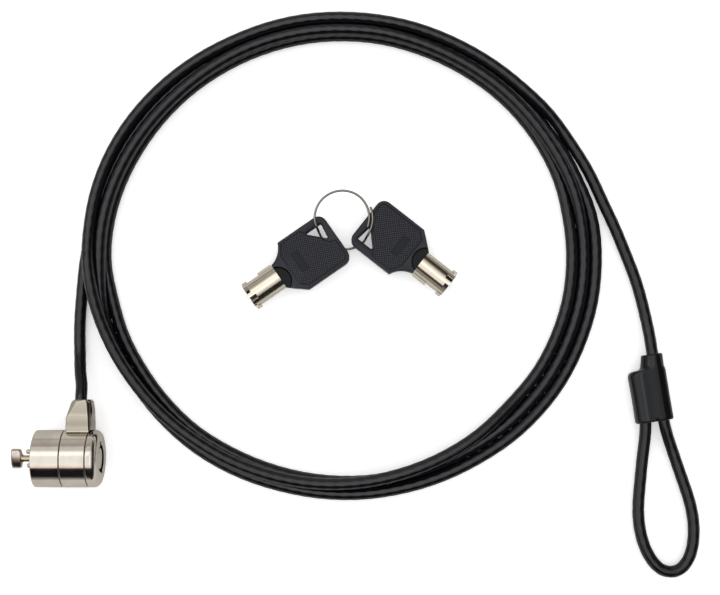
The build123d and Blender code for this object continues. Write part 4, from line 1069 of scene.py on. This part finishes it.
def bow_mesh():
    top = BOW_HALF_Z
    mesh = slab(bow_outline(), -top, top, edge=0.42, steps=5)
    hole = [(inset(HOLE, depth), -top + z) for depth, z in HOLE_FLARE]
    hole += [(inset(HOLE, depth), top - z) for depth, z in reversed(HOLE_FLARE)]
    mesh = boolean(mesh, stack(hole))
    recess = rounded([(RECESS_X0, -RECESS_HALF_Y), (RECESS_X1, -RECESS_HALF_Y),
                      (RECESS_X1, RECESS_HALF_Y), (RECESS_X0, RECESS_HALF_Y)], 0.35, 4)
    scoop_profile = [(top - 1.1, 0), (top - 1.1, 4.5), (top - 0.8, 4.85), (top + 0.5, 5.0),
                     (top + 0.5, 0)]
    for side in (1, -1):
        # a rim is left standing round the hole
        panel = face_cut(PANEL, PANEL_CUT, side)
        mesh = boolean(mesh, boolean(panel, face_cut(HOLE, HOLE_RIM, side)))
        mesh = boolean(mesh, face_cut(recess, RECESS_CUT, side))
        scoop = lathe(scoop_profile, 96, "Z", SCOOP_CENTRE)
        mesh = boolean(mesh, clean(moved(scoop, Matrix.Diagonal((1, 1, side, 1)))))
    # flat slot inside the tube end
    mesh = boolean(mesh, box_mesh(-1, 9.32, -3.01, 3.01, -1.01, 1.01))
    return joined(mesh, hatch_studs(1), hatch_studs(-1))


def paint_bow(mesh, to_key):
    """Slots: 1 scoop, painted near-black as shade; 2 recess; 3 panel grooves, painted darker as shade;
    4 stud crowns, painted lighter as highlight.
    """
    for look in ("scoop", "blank", "groove", "crown"):
        mesh.materials.append(M[look])
    top = BOW_HALF_Z
    panel, hole = inset(PANEL, 0.16).tolist(), inset(HOLE, -0.60).tolist()
    for face in mesh.polygons:
        x, y, z = to_key @ (face.center / MM)
        z = abs(z)
        # painted shade on the scoop floor
        if from_scoop(x, y) < SCOOP_R and z < top - 0.35:
            face.material_index = 1
        elif 7.5 < x < 10.1 and abs(y) < 3.7 and top - 0.6 < z < top - 0.3:
            face.material_index = 2
        elif top - 0.31 < z < top - 0.004 and inside(panel, x, y) and not inside(hole, x, y):
            # stud crowns take the painted highlight, the grooves the painted shade
            crown = abs(face.normal.z) > 0.8 and z > top - 0.02
            face.material_index = 4 if crown else 3


def paint_tube(mesh, to_key):
    """Slots: 1 bore, painted dark as shade inside the tube; 2 lugs standing out of the tube, painted
    darker as shade.
    """
    mesh.materials.append(M["bore"])
    mesh.materials.append(M["lug"])
    for face in mesh.polygons:
        x, y, z = to_key @ (face.center / MM)
        radius = math.hypot(y, z)
        inner_lug = -10.45 < x < -7.8 and y < -2.8 and abs(z) < 0.8
        # painted shade inside the bore; the lugs get a darker, shaded nickel
        if x < -0.9 and radius < 3.72 and not inner_lug:
            face.material_index = 1
        elif radius > 4.46:
            face.material_index = 2


def keys():
    bow = bow_mesh()
    for tag, (position, direction) in KEYS.items():
        place = placement((*position, KEY_AXIS_Z), direction)
        obj = piece(f"key_{tag}_bow_moulding", moved(bow.copy(), place), f"key_{tag}",
                    f"key_{tag}_bow", M["bow"], 35)
        paint_bow(obj.data, place.inverted())
        paint_tube(NODES[f"key_{tag}_tube"].data, place.inverted())


# ------------------------------------------------------------------ key ring
WIRE_R, WIRE_END = 0.40, 0.30        # the wire's ends are rounded over WIRE_END


def hole_about_ring(tag):
    """Angle in degrees and distance of a key's ring hole about the ring's centre."""
    (x, y), (dx, dy) = KEYS[tag]
    u, v = RING_HOLE
    x, y = x + dx * u - dy * v - RING_CENTRE[0], y + dy * u + dx * v - RING_CENTRE[1]
    return math.degrees(math.atan2(y, x)) % 360, math.hypot(x, y)


def wire_radius(distance, total, angles):
    from_end = min(distance, total - distance)
    share = 1.0
    if from_end <= WIRE_END:
        share = math.sqrt(max(0.0, 1 - (1 - from_end / WIRE_END) ** 2)) * 0.55 + 0.45
    return np.full_like(angles, WIRE_R * share)


def key_ring():
    """Overlapping wire that lies on the bows and dips under them between the two holes."""
    angle_a, reach_a = hole_about_ring("a")
    angle_b, reach_b = hole_about_ring("b")
    over, middle, under = -2.25, KEY_AXIS_Z, -9.0
    # angle in degrees, distance from the centre, z
    stations = (
        (-20, 9.1, over), (0, 9.15, over), (20, 9.25, over), (45, 9.45, -2.1), (70, 9.55, -2.0),
        (95, 9.55, -1.95), (120, 9.55, -2.0), (145, 9.55, -2.1), (170, 9.5, over),
        (angle_a - 18, 9.35, over), (angle_a - 8, reach_a + 0.05, -2.75),
        (angle_a, reach_a, middle), (angle_a + 8, reach_a + 0.03, -7.9),
        (angle_a + 18, 9.3, under), (245, 9.4, under), (265, 9.6, under), (285, 9.9, under),
        (angle_b - 17, reach_b - 0.1, under), (angle_b - 8, reach_b, -7.9),
        (angle_b, reach_b, middle), (angle_b + 8, reach_b, -2.75), (angle_b + 17, reach_b, over),
        (355, 10.3, over), (370, 10.3, over), (383, 10.35, over),
    )
    points = [(RING_CENTRE[0] + reach * math.cos(math.radians(angle)),
               RING_CENTRE[1] + reach * math.sin(math.radians(angle)), z)
              for angle, reach, z in stations]
    wire = tube_mesh(points, 0.22, wire_radius, 20)
    piece("ring_wire", wire, "key_ring", "key_ring", M["ring"], 50)


# ------------------------------------------------------------------ floor, light and camera
def floor():
    half, glow = 3.0, 0.36
    corners = [(-half, -half, 0), (half, -half, 0), (half, half, 0), (-half, half, 0)]
    mesh = mesh_from("floor_mesh", corners, [(0, 1, 2, 3)], smooth=False)
    obj = linked_object("floor", mesh)
    obj.location = (0.107, 0.05, FLOOR_Z * MM)
    m = Surface("pale_floor")
    # reflections see the floor as a light grey sweep; the camera sees it near white
    glossy = m.add("LightPath").outputs["Is Glossy Ray"]
    grain = m.noise(scale=90.0, detail=3.0, rough=0.5)
    white = m.mix(grain, (0.93, 0.93, 0.93), (0.95, 0.95, 0.95))
    mesh.materials.append(m.finish({
        "Base Color": m.mix(glossy, white, (0.60, 0.575, 0.53)), "Roughness": 0.65,
        "Specular IOR Level": 0.0, "Emission Color": (1.0, 1.0, 1.0),
        "Emission Strength": m.times(m.math("SUBTRACT", 1.0, glossy), glow)}))


def studio():
    """A light tent: bright top, grey wall towards +Y, dark opening towards -Y in reflections."""
    world = bpy.data.worlds.new("studio")
    bpy.context.scene.world = world
    world.use_nodes = True
    g = Graph(world.node_tree, "Generated")
    x, y, z = (g.axis(name) for name in "XYZ")
    # angles in degrees from straight up: towards +Y, and towards +X
    degrees = 57.29578
    along = g.times(g.math("ARCTAN2", y, z), degrees)
    side = g.times(g.math("ARCTAN2", x, z), degrees)

    # top light over the grey wall and the dark opening
    top = g.times(g.fall(along, low=24.0, high=37.0), g.rise(along, low=-37.0, high=-32.5))
    wall = g.mix(g.rise(along, low=38.0, high=90.0), (0.315, 0.285, 0.255), (0.57, 0.535, 0.475))
    base = g.mix(g.rise(along, low=-2.0, high=2.0), (0.0015, 0.0013, 0.0016), wall)
    colour = g.mix(top, base, (1.10, 1.06, 1.00))
    # warm fringe at the top light's -Y edge
    fringe = g.band(along, rise=(-39.0, -33.5), fall=(-31.5, -25.0))
    colour = g.mix(g.times(fringe, 0.6), colour, (1.0, 0.74, 0.62))
    # straight overhead it is a little dimmer
    overhead = g.rise(z, low=0.93, high=0.99)
    colour = g.mix(g.times(overhead, 0.20), colour, (0.60, 0.59, 0.57))
    # the top light fades towards +X and has a hot strip across its middle
    fade = g.times(g.rise(side, low=6.0, high=26.0), top)
    colour = g.mix(g.times(fade, 0.45), colour, (0.10, 0.10, 0.10))
    strip = g.times(g.band(side, rise=(-9.0, -4.0), fall=(5.0, 9.0)),
                    g.band(along, rise=(-26.0, -20.0), fall=(12.0, 18.0)))
    colour = g.mix(strip, colour, (1.55, 1.52, 1.47))
    # towards +X a dark gap runs down to a mid wall; the wall towards -X is plain grey
    clear = g.fall(g.math("ABSOLUTE", along), low=75.0, high=88.0)
    gap = g.times(g.band(side, rise=(29.0, 34.0), fall=(80.0, 89.0)), clear)
    colour = g.mix(g.times(gap, 0.94), colour, (0.010, 0.009, 0.010))
    right_wall = g.times(g.rise(side, low=76.0, high=86.0), clear)
    colour = g.mix(g.times(right_wall, 0.8), colour, (0.55, 0.50, 0.46))
    left_wall = g.fall(side, low=-62.0, high=-48.0)
    colour = g.mix(g.times(left_wall, 0.7), colour, (0.40, 0.37, 0.34))
    # all other rays see plain white
    glossy = g.add("LightPath").outputs["Is Glossy Ray"]
    sky = g.add("Background", {"Color": g.mix(glossy, (1.0, 1.0, 1.0), colour), "Strength": 1.0})
    g.add("OutputWorld", {"Surface": sky.outputs[0]})


def soft_key():
    light = bpy.data.lights.new("soft_key", "AREA")
    light.shape = "RECTANGLE"
    light.size, light.size_y = 0.9, 0.5
    light.energy = 0.5
    light.color = (1.0, 0.985, 0.96)
    obj = linked_object("soft_key", light)
    obj.location = (-0.25, 0.45, 0.75)
    aim = Vector((0.107, 0.02, 0)) - obj.location
    obj.rotation_euler = aim.to_track_quat("-Z", "Y").to_euler()


def camera():
    """Nearly straight down on the lock, with untouched colours."""
    data = bpy.data.cameras.new("camera")
    data.sensor_width = 36.0
    data.lens = 62.0
    data.clip_start = 0.01
    obj = linked_object("camera", data)
    obj.location = (0.10774, 0.01743, 0.41588)
    obj.rotation_euler = (math.radians(5.0), 0.0, 0.0)
    scene = bpy.context.scene
    scene.camera = obj
    scene.view_settings.view_transform = "Standard"
    scene.view_settings.look = "None"


dress_cad()
front_shell()
t_bar_and_spindle()
rear_cap()
collar_and_neck()
cable_jacket()
boot()
keys()
key_ring()
floor()
studio()
soft_key()
camera()

bpy.context.view_layer.update()
